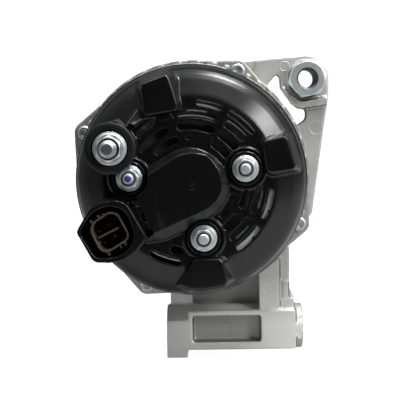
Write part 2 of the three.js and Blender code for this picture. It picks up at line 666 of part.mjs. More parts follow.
// ================================================================= plug receptacle
const RECEPTACLE = [
  [-44.5, -14.0], [-41.2, -14.1], [-39.1, -15.4], [-33.6, -25.6], [-33.4, -28.2], [-34.6, -30.0],
  [-43.0, -35.5], [-45.6, -36.6], [-48.5, -35.9], [-50.2, -34.1], [-54.5, -24.9], [-54.2, -21.9],
  [-52.5, -19.2],
];
const RECEPTACLE_BAR = [[-50.0, -29.5], [-50.6, -28.2], [-39.6, -22.4], [-38.9, -23.8]];
const PLUG_PINS = [[-44.9, -22.0], [-50.2, -25.4], [-41.4, -28.1], [-47.2, -31.4]];

// flat pin drawn on the axis; growth is added to its width and thickness
function blade(growth) {
  const geometry = new THREE.BoxGeometry(1.7 + growth, 20, 0.9 + growth);
  geometry.rotateY(-radians(30.5));
  geometry.translate(0, -53, 0);
  return toSolid(geometry);
}

function plugReceptacle() {
  const cavity = plate(scaleAbout(RECEPTACLE, [-43.9, -25.4], 0.845), [-71, -54]);
  const shell = cut(plate(RECEPTACLE, [-70, -45]), cavity);
  // small rib at the shell's upper left, kept inside the hood
  const rib = box([-51.9, -50.9], [-69, -52], [-18.2, -16.6])
    .intersect(plate(HOOD_INNER, [-80, -40]));
  return cut(join(shell, plate(RECEPTACLE_BAR, [-68, -53.5]), rib),
    PLUG_PINS.map(([x, z]) => blade(0.5).translate(x, 0, z)));
}
addPiece('plug_receptacle', plugReceptacle(), BROWN_PLASTIC);
PLUG_PINS.forEach((at, i) => addPiece(`plug_pin_${i + 1}`, blade(0), GOLD, at));

// ================================================================= brush gear
// laid out along its own x, then turned
const BRUSH_YS = [-56, -48];

function brushHolder() {
  const pocket = (y) => box([10, 24.7], [y - 3.1, y + 3.1], [-4.3, 4.3]);
  return cut(box([10.4, 26.0], [-60.4, -43.4], [-6.6, 6.6]), BRUSH_YS.map(pocket));
}

class SpringPath extends THREE.Curve {
  constructor(y) {
    super();
    this.y = y;
  }

  getPoint(t, out = new THREE.Vector3()) {
    const coils = 5;
    const coilR = 1.9;
    const angle = 2 * Math.PI * coils * t;
    return out.set(17.1 + 7.0 * t, this.y + coilR * Math.cos(angle), coilR * Math.sin(angle));
  }
}

function brushSpring(y) {
  const wire = new THREE.Shape(toVectors([[0.35, 0], [0, 0.35], [-0.35, 0], [0, -0.35]]));
  return toSolid(new THREE.ExtrudeGeometry(wire, {
    steps: 36, bevelEnabled: false, extrudePath: new SpringPath(y),
  }));
}

const brush = (y) => box([8.3, 16.5], [y - 2.7, y + 2.7], [-3.9, 3.9]);

const brushGear = addRadialGroup(BRUSH_ANGLE);
addPiece('brush_holder', brushHolder(), BLACK_PLASTIC, AXIS, brushGear);
BRUSH_YS.forEach((y, i) => {
  addPiece(`brush_spring_${i + 1}`, brushSpring(y), STEEL, AXIS, brushGear);
  addPiece(`brush_${i + 1}`, brush(y), CARBON, AXIS, brushGear);
});

// ================================================================= fasteners, drawn on the axis
const COVER_NUT_ANGLES = [12, 40, 5];

const coverStud = () => turned([[0, -68.6], [2.4, -68.6], [2.95, -68], [2.95, -37], [0, -37]], 10);

function coverNut(angle) {
  const flange = turned([[0, -61.05], [7.3, -61.05], [7.3, -62.1], [5.6, -63.2], [0, -63.2]], 14);
  return cut(join(flange, hexagon(AXIS, 10, [-67, -63.1], angle)),
    rod(AXIS, 3.05, [-70, -60], 10));
}

function throughBolt() {
  const collarY = BOLT_SEAT_Y - 1.2;
  const seatY = BOLT_SEAT_Y - 0.05;
  return join(
    turned([[0, collarY], [4.0, collarY], [4.2, seatY], [2.5, seatY], [2.5, 24.2], [0, 24.2]], 10),
    hexagon(AXIS, 6.8, [BOLT_SEAT_Y - 5, BOLT_SEAT_Y - 1.1], 15));
}

function earBush() {
  return cut(
    join(hexagon(EAR_BUSH, EAR_BUSH_AF, [-2, 5], 12.5), rod(EAR_BUSH, 8.0, [4.9, 33])),
    rod(EAR_BUSH, EAR_BUSH_BORE_R, [-5, 40]));
}

COVER_STUDS.forEach((at, i) => {
  addPiece(`cover_stud_${i + 1}`, coverStud(), ZINC, at);
  addPiece(`cover_nut_${i + 1}`, coverNut(COVER_NUT_ANGLES[i]), ZINC, at);
});
BOLTS.forEach((at, i) => addPiece(`through_bolt_${i + 1}`, throughBolt(), ZINC, at));
addPiece('ear_bush', earBush(), ZINC);

// ================================================================= bearings
// race with a ball groove; side is 1 for the outer race, -1 for the inner
function bearingRace({ y: [y0, y1], pitch, ball }, wallR, side) {
  const middle = (y0 + y1) / 2;
  const landR = pitch + side * ball * 0.62;
  const floorR = pitch + side * (ball + 0.25);
  const grooveHalf = ball * 0.86;
  return turned([
    [wallR, y0], [wallR, y1], [landR, y1],
    [landR, middle + grooveHalf], [floorR, middle + grooveHalf * 0.4],
    [floorR, middle - grooveHalf * 0.4], [landR, middle - grooveHalf],
    [landR, y0],
  ], 20);
}

function bearingCage({ y: [y0, y1], pitch, ball, count }) {
  const middle = (y0 + y1) / 2;
  const band = tube(AXIS, [pitch - 1.1, pitch + 1.1], [middle - 1.6, middle + 1.6], count);
  const balls = ring(count, pitch).map(([x, z]) => {
    const geometry = new THREE.OctahedronGeometry(ball, 1);
    geometry.translate(x, middle, z);
    return toSolid(geometry);
  });
  return join(band, balls);
}

for (const [name, bearing] of [['front', FRONT_BRG], ['rear', REAR_BRG]]) {
  addPiece(`${name}_bearing_outer_race`, bearingRace(bearing, bearing.od, 1), STEEL);
  addPiece(`${name}_bearing_inner_race`, bearingRace(bearing, bearing.bore + 0.1, -1), STEEL);
  addPiece(`${name}_bearing_cage`, bearingCage(bearing), STEEL);
}

// plate with three lobes, one at each screw
function bearingRetainer() {
  const outline = Array.from({ length: 24 }, (_, i) => {
    const onLobe = i % 8 < 2 || i % 8 === 7;
    return polar(onLobe ? 31 : 26.5, 15 * i + 82.5);
  });
  return cut(plate(outline, [38.1, 39.8]),
    rod(AXIS, 19, [30, 45], 20),
    rods(RETAINER_SCREWS, RETAINER_HOLE_R, [30, 45], 8));
}

const retainerScrew = () => turned(
  [[0, 36], [3.2, 36], [3.9, 38.05], [2.0, 38.05], [2.0, 45], [0, 45]], 8);

addPiece('bearing_retainer_plate', bearingRetainer(), ZINC);
RETAINER_SCREWS.forEach((at, i) => {
  addPiece(`retainer_screw_${i + 1}`, retainerScrew(), ZINC, at);
});

// ================================================================= rotor
const ROTOR_R = 49.0;           // claw pole outer radius
const CLAWS = 6;
const REAR_POLE_Y = -12;        // outer faces of the two pole discs
const FRONT_POLE_Y = 28;
// claw cross-sections at root and tip, [tangential, radial]
const CLAW_ROOT = [[-9.6, 42.0], [9.6, 42.0], [9.8, 47.4], [4.4, 48.7], [-4.4, 48.7], [-9.8, 47.4]];
const CLAW_TIP = [[-3.4, 46.6], [3.4, 46.6], [4.0, 48.5], [1.5, 48.8], [-1.5, 48.8], [-4.0, 48.5]];

function shaft() {
  return turned([
    [0, -61.5], [5.0, -60.8], [5.0, -43.2], [7.0, -43.2], [7.0, -39],
    [REAR_BRG.bore, -38.6], [REAR_BRG.bore, -26.8], [9.4, -26.8], [9.4, 39.6],
    [SHAFT_R, 39.6], [SHAFT_R, 82.7], [7.8, 83.0], [7.8, 92.2], [7.0, SHAFT_END_Y],
    [0, SHAFT_END_Y],
  ], 20);
}

// lobed disc, half core, and tapering claws that reach towards the other pole
function clawPole({ yDisc, yFace, yCore, yTip, phase }) {
  const direction = Math.sign(yTip - yFace);
  const angles = Array.from({ length: CLAWS }, (_, i) => phase + 360 / CLAWS * i);
  const lobeR = ROTOR_R - 0.2;
  const lobes = angles.flatMap((angle) => [
    polar(28, angle - 22), polar(47, angle - 12.2), polar(lobeR, angle - 5),
    polar(lobeR, angle + 5), polar(47, angle + 12.2), polar(28, angle + 22),
  ]);
  const section = (points, angle, y) => points.map(([t, r]) => {
    const [cos, sin] = polar(1, angle);
    return [r * cos - t * sin, y, r * sin + t * cos];
  });
  const claws = angles.map((angle) => loft([
    section(CLAW_ROOT, angle, yDisc + direction * 2),
    section(CLAW_TIP, angle, yTip),
  ]));
  const pole = join(
    plate(lobes, ordered(yDisc, yFace)),
    tube(AXIS, [9, 24], ordered(yDisc, yCore)),
    claws);
  return cut(pole, rod(AXIS, 9.5, [-40, 60], 20));
}

// pressed steel fan: a disc against the pole, with upright curved blades; direction is along Y
function fan({ yPole, direction, yTip, outerR, sweep }) {
  const blades = 9;
  const bladeRootR = 25;
  const halfThickness = 0.8;
  const yBack = yPole + direction * 0.3;
  const yFront = yBack + direction * 1.5;
  let wheel = tube(AXIS, [10, outerR * 0.86], ordered(yBack, yFront));
  for (let i = 0; i < blades; i++) {
    const rootAngle = 360 / blades * i + (i % 3) * 2.0;
    const leading = [];
    const trailing = [];
    for (const t of [0, 0.5, 1]) {
      const angle = rootAngle + sweep * t * t;
      const [x, z] = polar(bladeRootR + (outerR - bladeRootR) * t, angle);
      const [dx, dz] = polar(halfThickness, angle + 90);
      leading.push([x + dx, z + dz]);
      trailing.unshift([x - dx, z - dz]);
    }
    const outline = [...leading, ...trailing];
    wheel = join(wheel,
      plate(outline, ordered(yFront, yTip)),
      plate(outline, ordered(yBack, yFront)));
  }
  return wheel;
}

addPiece('shaft', shaft(), STEEL);
addPiece('rear_claw_pole', clawPole({
  yDisc: REAR_POLE_Y, yFace: -0.6, yCore: 7.9, yTip: 25, phase: 0,
}), STEEL);
addPiece('front_claw_pole', clawPole({
  yDisc: FRONT_POLE_Y, yFace: 16.6, yCore: 8.1, yTip: -9, phase: 180 / CLAWS,
}), STEEL);
addPiece('field_coil', tube(AXIS, [24.3, 40.6], [0, 16]), COPPER);
addPiece('rear_fan', fan({
  yPole: REAR_POLE_Y, direction: -1, yTip: -22, outerR: 46, sweep: 24,
}), STEEL);
addPiece('front_fan', fan({
  yPole: FRONT_POLE_Y, direction: 1, yTip: 36, outerR: 47, sweep: -24,
}), STEEL);

// ================================================================= slip rings
const SLIP_RING_R = [6.8, 8.0];

function slipRingInsulator() {
  return turned([
    [5.1, -60.2], [6.7, -60.2], [6.7, -52.9], [7.6, -52.9], [7.6, -51.1], [6.7, -51.1],
    [6.7, -44], [7.6, -44], [7.6, -43.4], [5.1, -43.4],
  ], 20);
}
addPiece('slip_ring_insulator', slipRingInsulator(), DARK_BROWN);
addPiece('slip_ring_outer', tube(AXIS, SLIP_RING_R, [-59.6, -53.0]), COPPER);
addPiece('slip_ring_inner', tube(AXIS, SLIP_RING_R, [-51.0, -44.1]), COPPER);

// ================================================================= pulley
function pulley() {
  const radius = 28;
  const [yRear, yFront] = [58, 84];
  const ribs = 6;
  const ribPitch = 3.56;
  const ribDepth = 2.9;
  const ribsStartY = 61.6;
  const boreR = SHAFT_R + 0.1;
  const grooves = Array.from({ length: ribs }, (_, i) => {
    const y = ribsStartY + i * ribPitch;
    return [[radius - ribDepth, y + ribPitch * 0.5], [radius, y + ribPitch]];
  }).flat();
  return turned([
    [boreR, yRear], [21, yRear], [21, 60.2], [radius + 0.6, 60.2], [radius + 0.6, ribsStartY],
    ...grooves,
    [radius + 0.3, yFront], [24, yFront], [22, 80], [15, 79], [15, 83], [boreR, 83],
  ], 20);
}

function pulleyNut() {
  return cut(
    join(hexagon(AXIS, 24, [84.4, 91]), rod(AXIS, 14.4, [83.1, 84.5])),
    rod(AXIS, 8.0, [80, 100], 20));
}
addPiece('pulley', pulley(), DARK_METAL);
addPiece('pulley_nut', pulleyNut(), ZINC);

// ---------------------------------------------------------------- the assembly
const alternator = new THREE.Group();
parts.position.y = -SHAFT_END_Y;
alternator.add(parts);

export default alternator;
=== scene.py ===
"""A car alternator, dressed over its CAD pieces.

The shaft runs along Y: the pulley is at the +Y end and the plastic rear cover, which the
camera faces, at the -Y end. Z is up and X points right as the camera sees it. The frame's
origin is the shaft's outer end. Pieces are drawn in millimetres with y = 0 in the plane of
the lower boss's bolt hole and are set back along Y when they are placed.
"""
import math
import bpy
import bmesh
from mathutils import Vector, Matrix


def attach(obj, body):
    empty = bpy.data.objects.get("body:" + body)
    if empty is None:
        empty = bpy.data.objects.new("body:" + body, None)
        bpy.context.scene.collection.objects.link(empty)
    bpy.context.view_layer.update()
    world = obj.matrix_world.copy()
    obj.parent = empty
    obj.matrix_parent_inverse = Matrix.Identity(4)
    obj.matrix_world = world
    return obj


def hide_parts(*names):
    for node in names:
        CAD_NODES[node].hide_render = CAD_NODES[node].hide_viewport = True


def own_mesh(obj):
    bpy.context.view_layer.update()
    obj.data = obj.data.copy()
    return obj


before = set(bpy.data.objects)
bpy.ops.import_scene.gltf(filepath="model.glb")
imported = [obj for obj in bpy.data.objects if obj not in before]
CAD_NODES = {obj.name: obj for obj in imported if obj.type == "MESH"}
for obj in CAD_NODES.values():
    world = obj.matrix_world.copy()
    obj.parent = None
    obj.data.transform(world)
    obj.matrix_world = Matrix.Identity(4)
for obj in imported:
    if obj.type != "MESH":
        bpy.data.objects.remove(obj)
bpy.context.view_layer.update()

MM = 0.001
SET_BACK = -93.0 * MM

workshop = bpy.data.collections.new("build_temp")
bpy.context.scene.collection.children.link(workshop)


# ---------------------------------------------------------------- outlines, as (x, z) points
def polar(radius, degrees):
    angle = math.radians(degrees)
    return radius * math.cos(angle), radius * math.sin(angle)


def arc(radius, start, end, count):
    return [polar(radius, start + (end - start) * i / count) for i in range(count + 1)]


def points_round(centre, radius, degrees):
    return [(centre[0] + x, centre[1] + z) for x, z in (polar(radius, d) for d in degrees)]


def sector(inner, outer, start, end, count=16):
    return arc(outer, start, end, count) + arc(inner, end, start, count)


def arc_slot(radius, half, start, end):
    """Slot that follows an arc, with rounded ends."""
    return (arc(radius + half, start, end, 14)
            + points_round(polar(radius, end), half, [end + t for t in range(30, 180, 30)])
            + arc(radius - half, end, start, 14)
            + points_round(polar(radius, start), half, [start + t for t in range(210, 360, 30)]))


def hex_points(centre, across_flats, turn):
    return points_round(centre, across_flats / math.sqrt(3), [turn + 60 * i for i in range(6)])


def rounded(points, reach, count=5):
    """Rounds each corner with a curve that starts at most reach from it."""
    result = []
    for i, point in enumerate(points):
        corner = Vector(point)
        back = Vector(points[i - 1]) - corner
        ahead = Vector(points[(i + 1) % len(points)]) - corner
        trim = min(reach, back.length * 0.45, ahead.length * 0.45)
        start, end = corner + back.normalized() * trim, corner + ahead.normalized() * trim
        for j in range(count + 1):
            t = j / count
            result.append(tuple(start * (1 - t) ** 2 + corner * 2 * t * (1 - t) + end * t * t))
    return result


def scaled_about(points, centre, factor):
    return [(centre[0] + (x - centre[0]) * factor, centre[1] + (z - centre[1]) * factor)
            for x, z in points]


def hull(points):
    """Convex outline round a set of points."""
    def side(sequence):
        kept = []
        for q in sequence:
            while len(kept) > 1 and ((kept[-1][0] - kept[-2][0]) * (q[1] - kept[-2][1])
                                     - (kept[-1][1] - kept[-2][1]) * (q[0] - kept[-2][0])) <= 1e-9:
                kept.pop()
            kept.append(q)
        return kept[:-1]
    points = sorted(points)
    return side(points) + side(points[::-1])


def is_inside(points, x, z):
    hit = False
    for (x0, z0), (x1, z1) in zip(points, points[1:] + points[:1]):
        if (z0 > z) != (z1 > z) and x < (x1 - x0) * (z - z0) / (z1 - z0) + x0:
            hit = not hit
    return hit


# ---------------------------------------------------------------- solids, drawn in millimetres
def make(verts, faces):
    mesh = bpy.data.meshes.new("part")
    mesh.from_pydata([(x * MM, y * MM, z * MM) for x, y, z in verts], [], faces)
    bm = bmesh.new()
    bm.from_mesh(mesh)
    bmesh.ops.remove_doubles(bm, verts=bm.verts, dist=1e-8)
    bmesh.ops.recalc_face_normals(bm, faces=bm.faces)
    bm.to_mesh(mesh)
    bm.free()
    return in_workshop(mesh)


def in_workshop(mesh):
    part = bpy.data.objects.new("part", mesh)
    workshop.objects.link(part)
    return part


def circle(centre, radius, count):
    angles = [2 * math.pi * i / count for i in range(count)]
    return [(centre[0] + radius * math.cos(a), centre[1] + radius * math.sin(a)) for a in angles]


def ring(at, radius, y, count):
    return [(x, y, z) for x, z in circle(at, radius, count)]


def band(first, second, count):
    """Quads between two rings of vertices that start at the given indices."""
    pairs = [(i, (i + 1) % count) for i in range(count)]
    return [(first + i, first + j, second + j, second + i) for i, j in pairs]


def skin(rings):
    """Closed solid through rings of (x, y, z) points."""
    count = len(rings[0])
    total = count * len(rings)
    faces = [tuple(range(count)), tuple(range(total - 1, total - count - 1, -1))]
    for start in range(0, total - count, count):
        faces += band(start, start + count, count)
    return make([point for points in rings for point in points], faces)


def loft(sections):
    """Solid through (y, outline) sections with one corner count."""
    return skin([[(x, y, z) for x, z in points] for y, points in sections])


def prism(points, y_start, y_end):
    return loft([(y_start, points), (y_end, points)])


def lathe(profile, count=96, at=(0, 0)):
    """Turns (radius, y) stations round Y; a profile that stays off the axis closes on itself."""
    verts, faces, rings = [], [], []
    for radius, y in profile:
        if radius <= 0:
            rings.append([len(verts)] * count)
            verts.append((at[0], y, at[1]))
        else:
            rings.append(range(len(verts), len(verts) + count))
            verts += ring(at, radius, y, count)
    if profile[0][0] > 0 and profile[-1][0] > 0:
        rings.append(rings[0])
    for near, far in zip(rings, rings[1:]):
        for i in range(count):
            j = (i + 1) % count
            corners = tuple(dict.fromkeys((near[i], near[j], far[j], far[i])))
            if len(corners) >= 3:
                faces.append(corners)
    return make(verts, faces)


def rod(at, radius, y_start, y_end, count=48):
    return lathe([(0, y_start), (radius, y_start), (radius, y_end), (0, y_end)], count, at)


def rods(places, radius, y_start, y_end, count):
    return merged([rod(at, radius, y_start, y_end, count) for at in places])


def tube(at, inner, outer, y_start, y_end, count):
    return lathe([(inner, y_start), (outer, y_start), (outer, y_end), (inner, y_end)], count, at)


def rod_along_x(x_start, x_end, z, radius, count):
    """Rod along X, centred on y = 0."""
    section = circle((0, z), radius, count)
    return skin([[(x, y, z) for y, z in section] for x in (x_start, x_end)])


def block(x0, x1, y0, y1, z0, z1):
    return prism([(x0, z0), (x1, z0), (x1, z1), (x0, z1)], y0, y1)


def radial_block(inner, outer, y_start, y_end, half_width, degrees):
    cosine, sine = polar(1.0, degrees)
    corners = ((inner, -half_width), (outer, -half_width), (outer, half_width), (inner, half_width))
    return prism([(r * cosine - t * sine, r * sine + t * cosine) for r, t in corners],
                 y_start, y_end)


# ---------------------------------------------------------------- working on solids
def discard(part):
    mesh = part.data
    bpy.data.objects.remove(part)
    if mesh.users == 0:
        bpy.data.meshes.remove(mesh)


def merged(parts):
    """Several closed meshes as one object."""
    bm = bmesh.new()
    for part in parts:
        bm.from_mesh(part.data)
        discard(part)
    mesh = bpy.data.meshes.new("merged")
    bm.to_mesh(mesh)
    bm.free()
    return in_workshop(mesh)


def bake(part):
    """Replaces the mesh by its look with all modifiers applied."""
    depsgraph = bpy.context.evaluated_depsgraph_get()
    depsgraph.update()
    mesh = bpy.data.meshes.new_from_object(part.evaluated_get(depsgraph), depsgraph=depsgraph)
    old = part.data
    part.modifiers.clear()
    part.data = mesh
    if old.users == 0:
        bpy.data.meshes.remove(old)
    return part


def combine(base, *steps):
    """steps: ("+", part) joins, ("-", part) cuts, ("&", part) keeps the common part."""
    for sign, part in steps:
        modifier = base.modifiers.new("combine", "BOOLEAN")
        modifier.operation = {"+": "UNION", "-": "DIFFERENCE", "&": "INTERSECT"}[sign]
        modifier.solver = "MANIFOLD"
        modifier.object = part
    bake(base)
    for _, part in steps:
        discard(part)
    return base


def soften(part, voxel, smooth, ratio=None):
    """Rounds the edges of a moulded or cast solid: voxel skin, smoothed, then thinned to ratio."""
    remesh = part.modifiers.new("remesh", "REMESH")
    remesh.mode = "VOXEL"
    remesh.voxel_size = voxel * MM
    remesh.adaptivity = 0.0
    relax = part.modifiers.new("smooth", "SMOOTH")
    relax.factor = 0.5
    relax.iterations = smooth
    if ratio:
        part.modifiers.new("thin", "DECIMATE").ratio = ratio
    return bake(part)


def bevel(part, width, segments=2, angle=35):
    modifier = part.modifiers.new("edge", "BEVEL")
    modifier.width = width * MM
    modifier.segments = segments
    modifier.limit_method = "ANGLE"
    modifier.angle_limit = math.radians(angle)
    modifier.harden_normals = False
    return part


def shade(part, angle=None):
    part.data.shade_smooth()
    if angle is not None:
        part.data.set_sharp_from_angle(angle=math.radians(angle))
    return part


def machined(part, width):
    """Bevels edges; large faces keep their own normal and the bevels take up the turn."""
    bake(bevel(part, width, angle=24))
    shade(part, 35)
    modifier = part.modifiers.new("weighted", "WEIGHTED_NORMAL")
    modifier.keep_sharp = True
    modifier.weight = 100
    return bake(part)


def place(part, name, materials, slot, *replaced, body="housing"):
    """Moves a finished part into the frame, names it, gives it its materials, hangs it on its body
    and hides the CAD pieces it replaces.
    """
    part.data.transform(Matrix.Translation((0, SET_BACK, 0)))
    part.name = name
    part.data.name = name
    workshop.objects.unlink(part)
    bpy.context.scene.collection.objects.link(part)
    part.data.materials.clear()
    for material in materials if isinstance(materials, tuple) else (materials,):
        part.data.materials.append(material)
    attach(part, body)
    if replaced:
        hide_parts(*replaced)


def placed_faces(part):
    """Each face of a placed part with its centre in drawing millimetres."""
    for face in part.data.polygons:
        centre = face.center / MM
        yield face, centre.x, centre.y - SET_BACK / MM, centre.z


# ---------------------------------------------------------------- shader building
def feed(tree, socket, value):
    """Links an output to a socket, or gives it a number, vector or RGB colour."""
    if isinstance(value, bpy.types.NodeSocket):
        tree.links.new(value, socket)
    else:
        socket.default_value = (*value, 1.0) if socket.type == "RGBA" else value


def add_node(tree, kind, inputs, **settings):
    node = tree.nodes.new("ShaderNode" + kind)
    for name, value in settings.items():
        setattr(node, name, value)
    for key, value in inputs.items():
        feed(tree, node.inputs[key], value)
    return node


def map_range(tree, value, start, end, low, high, **settings):
    inputs = {"From Min": start, "From Max": end, "To Min": low, "To Max": high, "Value": value}
    return add_node(tree, "MapRange", inputs, **settings).outputs[0]


def scaled(colour, factor):
    return tuple(c * factor for c in colour)


class Shader:
    """One material: a Principled surface fed by patterns in object space."""

    def __init__(self, name):
        self.material = bpy.data.materials.new(name)
        self.material.use_nodes = True
        self.tree = self.material.node_tree
        self.tree.nodes.clear()
        output = self.node("OutputMaterial")
        self.surface = self.node("BsdfPrincipled")
        self.tree.links.new(self.surface.outputs[0], output.inputs[0])
        self.position = self.node("TexCoord").outputs["Object"]

    def node(self, kind, inputs={}, **settings):
        return add_node(self.tree, kind, inputs, **settings)

    def noise(self, scale, detail, rough, warp=0.0, stretch=None):
        vector = self.position
        if stretch:
            vector = self.node("Mapping", {"Scale": stretch, "Vector": vector}).outputs[0]
        return self.node("TexNoise", {"Scale": scale, "Detail": detail, "Roughness": rough,
                                      "Distortion": warp, "Vector": vector}).outputs["Fac"]

    def ramp(self, value, *stops):
        """stops: (position, colour)"""
        ramp = self.node("ValToRGB", {0: value})
        elements = ramp.color_ramp.elements
        while len(elements) < len(stops):
            elements.new(0.5)
        for element, (position, colour) in zip(elements, stops):
            element.position = position
            element.color = (*colour, 1.0)
        return ramp.outputs["Color"]

    def mask(self, value, start, end):
        """0 below start, 1 above end"""
        return self.ramp(value, (start, (0, 0, 0)), (end, (1, 1, 1)))

    def span(self, value, low, high, start=0.0, end=1.0):
        """Maps start..end to low..high."""
        return map_range(self.tree, value, start, end, low, high)

    def math(self, operation, first, second):
        return self.node("Math", {0: first, 1: second}, operation=operation).outputs[0]

    def mix(self, factor, first, second, blend="MIX"):
        return self.node("Mix", {0: factor, 6: first, 7: second},
                         data_type="RGBA", blend_type=blend).outputs[2]

    def tint(self, colour, mask, amount, towards):
        return self.mix(self.math("MULTIPLY", mask, amount), colour, towards)

    def worn_edges(self, colour, start, end, amount, towards):
        pointiness = self.node("NewGeometry").outputs["Pointiness"]
        return self.tint(colour, self.mask(pointiness, start, end), amount, towards)

    def bump(self, height, strength, distance, under=None):
        inputs = {"Strength": strength, "Distance": distance, "Height": height}
        if under is not None:
            inputs["Normal"] = under
        return self.node("Bump", inputs).outputs[0]

    def finish(self, **inputs):
        for name, value in inputs.items():
            feed(self.tree, self.surface.inputs[name.replace("_", " ")], value)
        return self.material


# ---------------------------------------------------------------- materials
def cast_aluminium(name, painted_dimming):
    """Grainy casting, paler on worn edges and, as painted light, paler low down; the last argument
    darkens the whole, for copies in painted shade.
    """
    shader = Shader(name)
    patches = shader.noise(scale=38, detail=3, rough=0.5, warp=0.4)
    pits = shader.noise(scale=420, detail=4, rough=0.6)
    grain = shader.noise(scale=2300, detail=3, rough=0.6)
    base = shader.ramp(patches, (0.3, scaled((0.62, 0.615, 0.59), painted_dimming)),
                       (0.7, scaled((0.73, 0.725, 0.70), painted_dimming)))
    speck = shader.ramp(grain, (0.32, (0.72, 0.72, 0.71)), (0.5, (1, 1, 1)),
                        (0.68, (1.08, 1.08, 1.08)))
    colour = shader.mix(0.75, base, speck, blend="MULTIPLY")
    height = shader.node("SeparateXYZ", {0: shader.position}).outputs["Z"]
    # painted light: the colour is tinted paler towards the bottom, where the foot needs more light
    painted_light_low = shader.span(height, low=1.0, high=0.0, start=-0.088, end=-0.060)
    colour = shader.tint(colour, painted_light_low, 0.85, scaled((1.0, 1.0, 0.97), painted_dimming))
    colour = shader.worn_edges(colour, start=0.49, end=0.60, amount=0.35,
                               towards=scaled((0.80, 0.80, 0.78), painted_dimming))
    rough = shader.span(pits, low=0.46, high=0.62)
    fine = shader.bump(grain, strength=0.30, distance=0.00012)
    normal = shader.bump(pits, strength=0.22, distance=0.0004, under=fine)
    return shader.finish(Base_Color=colour, Metallic=0.62, Roughness=rough, Normal=normal)


def plastic(name, dark, light, smoothest, roughest, grain_strength):
    """Moulded plastic with flow marks, dust and worn edges."""
    shader = Shader(name)
    grain = shader.noise(scale=2600, detail=3, rough=0.6)
    waves = shader.noise(scale=160, detail=3, rough=0.5, warp=0.6)
    flow = shader.noise(scale=60, detail=4, rough=0.55, warp=1.2)
    colour = shader.ramp(flow, (0.3, dark), (0.7, light))
    dust = shader.mask(shader.noise(scale=5200, detail=2, rough=0.7), start=0.70, end=0.78)
    colour = shader.tint(colour, dust, 0.22, (0.09, 0.088, 0.08))
    colour = shader.worn_edges(colour, start=0.52, end=0.62, amount=0.30,
                               towards=(0.05, 0.052, 0.05))
    rough = shader.math("ADD", shader.span(waves, low=smoothest, high=roughest),
                        shader.math("MULTIPLY", dust, 0.12))
    fine = shader.bump(grain, strength=grain_strength, distance=0.00008)
    normal = shader.bump(waves, strength=0.05, distance=0.0004, under=fine)
    return shader.finish(Base_Color=colour, Metallic=0.0, Roughness=rough, Normal=normal,
                         Specular_IOR_Level=0.5)


def dark_plastic(name, base, smoothest, roughest, grain_strength):
    return plastic(name, scaled((0.85, 0.87, 0.88), base), scaled((1.2, 1.25, 1.22), base),
                   smoothest, roughest, grain_strength)


def brown_plastic():
    shader = Shader("brown_plastic")
    grain = shader.noise(scale=2400, detail=3, rough=0.6)
    clouds = shader.noise(scale=240, detail=4, rough=0.6, warp=0.5)
    colour = shader.ramp(clouds, (0.25, (0.066, 0.052, 0.036)), (0.5, (0.100, 0.080, 0.056)),
                         (0.8, (0.14, 0.112, 0.082)))
    streaks = shader.noise(scale=3000, detail=2, rough=0.6, stretch=(1, 0.15, 1))
    fibre = shader.mask(streaks, start=0.6, end=0.75)
    colour = shader.tint(colour, fibre, 0.25, (0.20, 0.16, 0.12))
    return shader.finish(Base_Color=colour, Metallic=0.0,
                         Roughness=shader.span(clouds, low=0.42, high=0.58),
                         Normal=shader.bump(grain, strength=0.18, distance=0.0001))


def zinc(name, colour, smoothest, roughest):
    """Zinc plate with a faint blue bloom and stains."""
    shader = Shader(name)
    clouds = shader.noise(scale=260, detail=3, rough=0.6, warp=0.8)
    soft = shader.noise(scale=650, detail=2, rough=0.5)
    bloom = shader.noise(scale=120, detail=2, rough=0.5, warp=1.0)
    colour = shader.ramp(clouds, (0.25, scaled(colour, 0.84)), (0.75, colour))
    colour = shader.mix(shader.span(bloom, low=0.0, high=0.30, start=0.35, end=0.75),
                        colour, (0.74, 0.82, 0.92), blend="MULTIPLY")
    blots = shader.noise(scale=700, detail=4, rough=0.6, warp=0.3)
    stain = shader.mask(blots, start=0.62, end=0.78)
    colour = shader.tint(colour, stain, 0.22, (0.42, 0.45, 0.45))
    rough = shader.math("ADD", shader.span(clouds, low=smoothest, high=roughest),
                        shader.math("MULTIPLY", stain, 0.10))
    return shader.finish(Base_Color=colour, Metallic=1.0, Roughness=rough,
                         Normal=shader.bump(soft, strength=0.05, distance=0.00006))


def steel(name, dark, light, smoothest, roughest, turned=False, metallic=1.0):
    """Steel with rust spots; turned steel carries fine rings round Y."""
    shader = Shader(name)
    if turned:
        marks = shader.noise(scale=700, detail=3, rough=0.6, stretch=(0.05, 8.0, 0.05))
    else:
        marks = shader.noise(scale=900, detail=3, rough=0.6)
    clouds = shader.noise(scale=90, detail=3, rough=0.55, warp=0.5)
    colour = shader.ramp(clouds, (0.3, (dark, dark, dark * 1.02)),
                         (0.7, (light, light, light * 1.01)))
    spots = shader.mask(shader.noise(scale=420, detail=5, rough=0.7), start=0.62, end=0.76)
    colour = shader.tint(colour, spots, 0.25, (0.16, 0.12, 0.09))
    return shader.finish(Base_Color=colour, Metallic=metallic,
                         Roughness=shader.span(marks, low=smoothest, high=roughest),
                         Normal=shader.bump(marks, strength=0.10, distance=0.0001))


def laminations():
    """Thin sheets stacked along Y, with rust."""
    shader = Shader("stacked_laminations")
    sheets = shader.node("TexWave", {"Scale": 620.0, "Distortion": 0.4, "Vector": shader.position},
                         wave_type="BANDS", bands_direction="Y").outputs["Fac"]
    colour = shader.ramp(sheets, (0.1, (0.10, 0.10, 0.105)), (0.6, (0.30, 0.30, 0.31)))
    rust = shader.mask(shader.noise(scale=120, detail=5, rough=0.65), start=0.55, end=0.75)
    colour = shader.tint(colour, rust, 0.35, (0.12, 0.075, 0.05))
    return shader.finish(Base_Color=colour, Metallic=0.85,
                         Roughness=shader.span(rust, low=0.38, high=0.6),
                         Normal=shader.bump(sheets, strength=0.25, distance=0.0001))


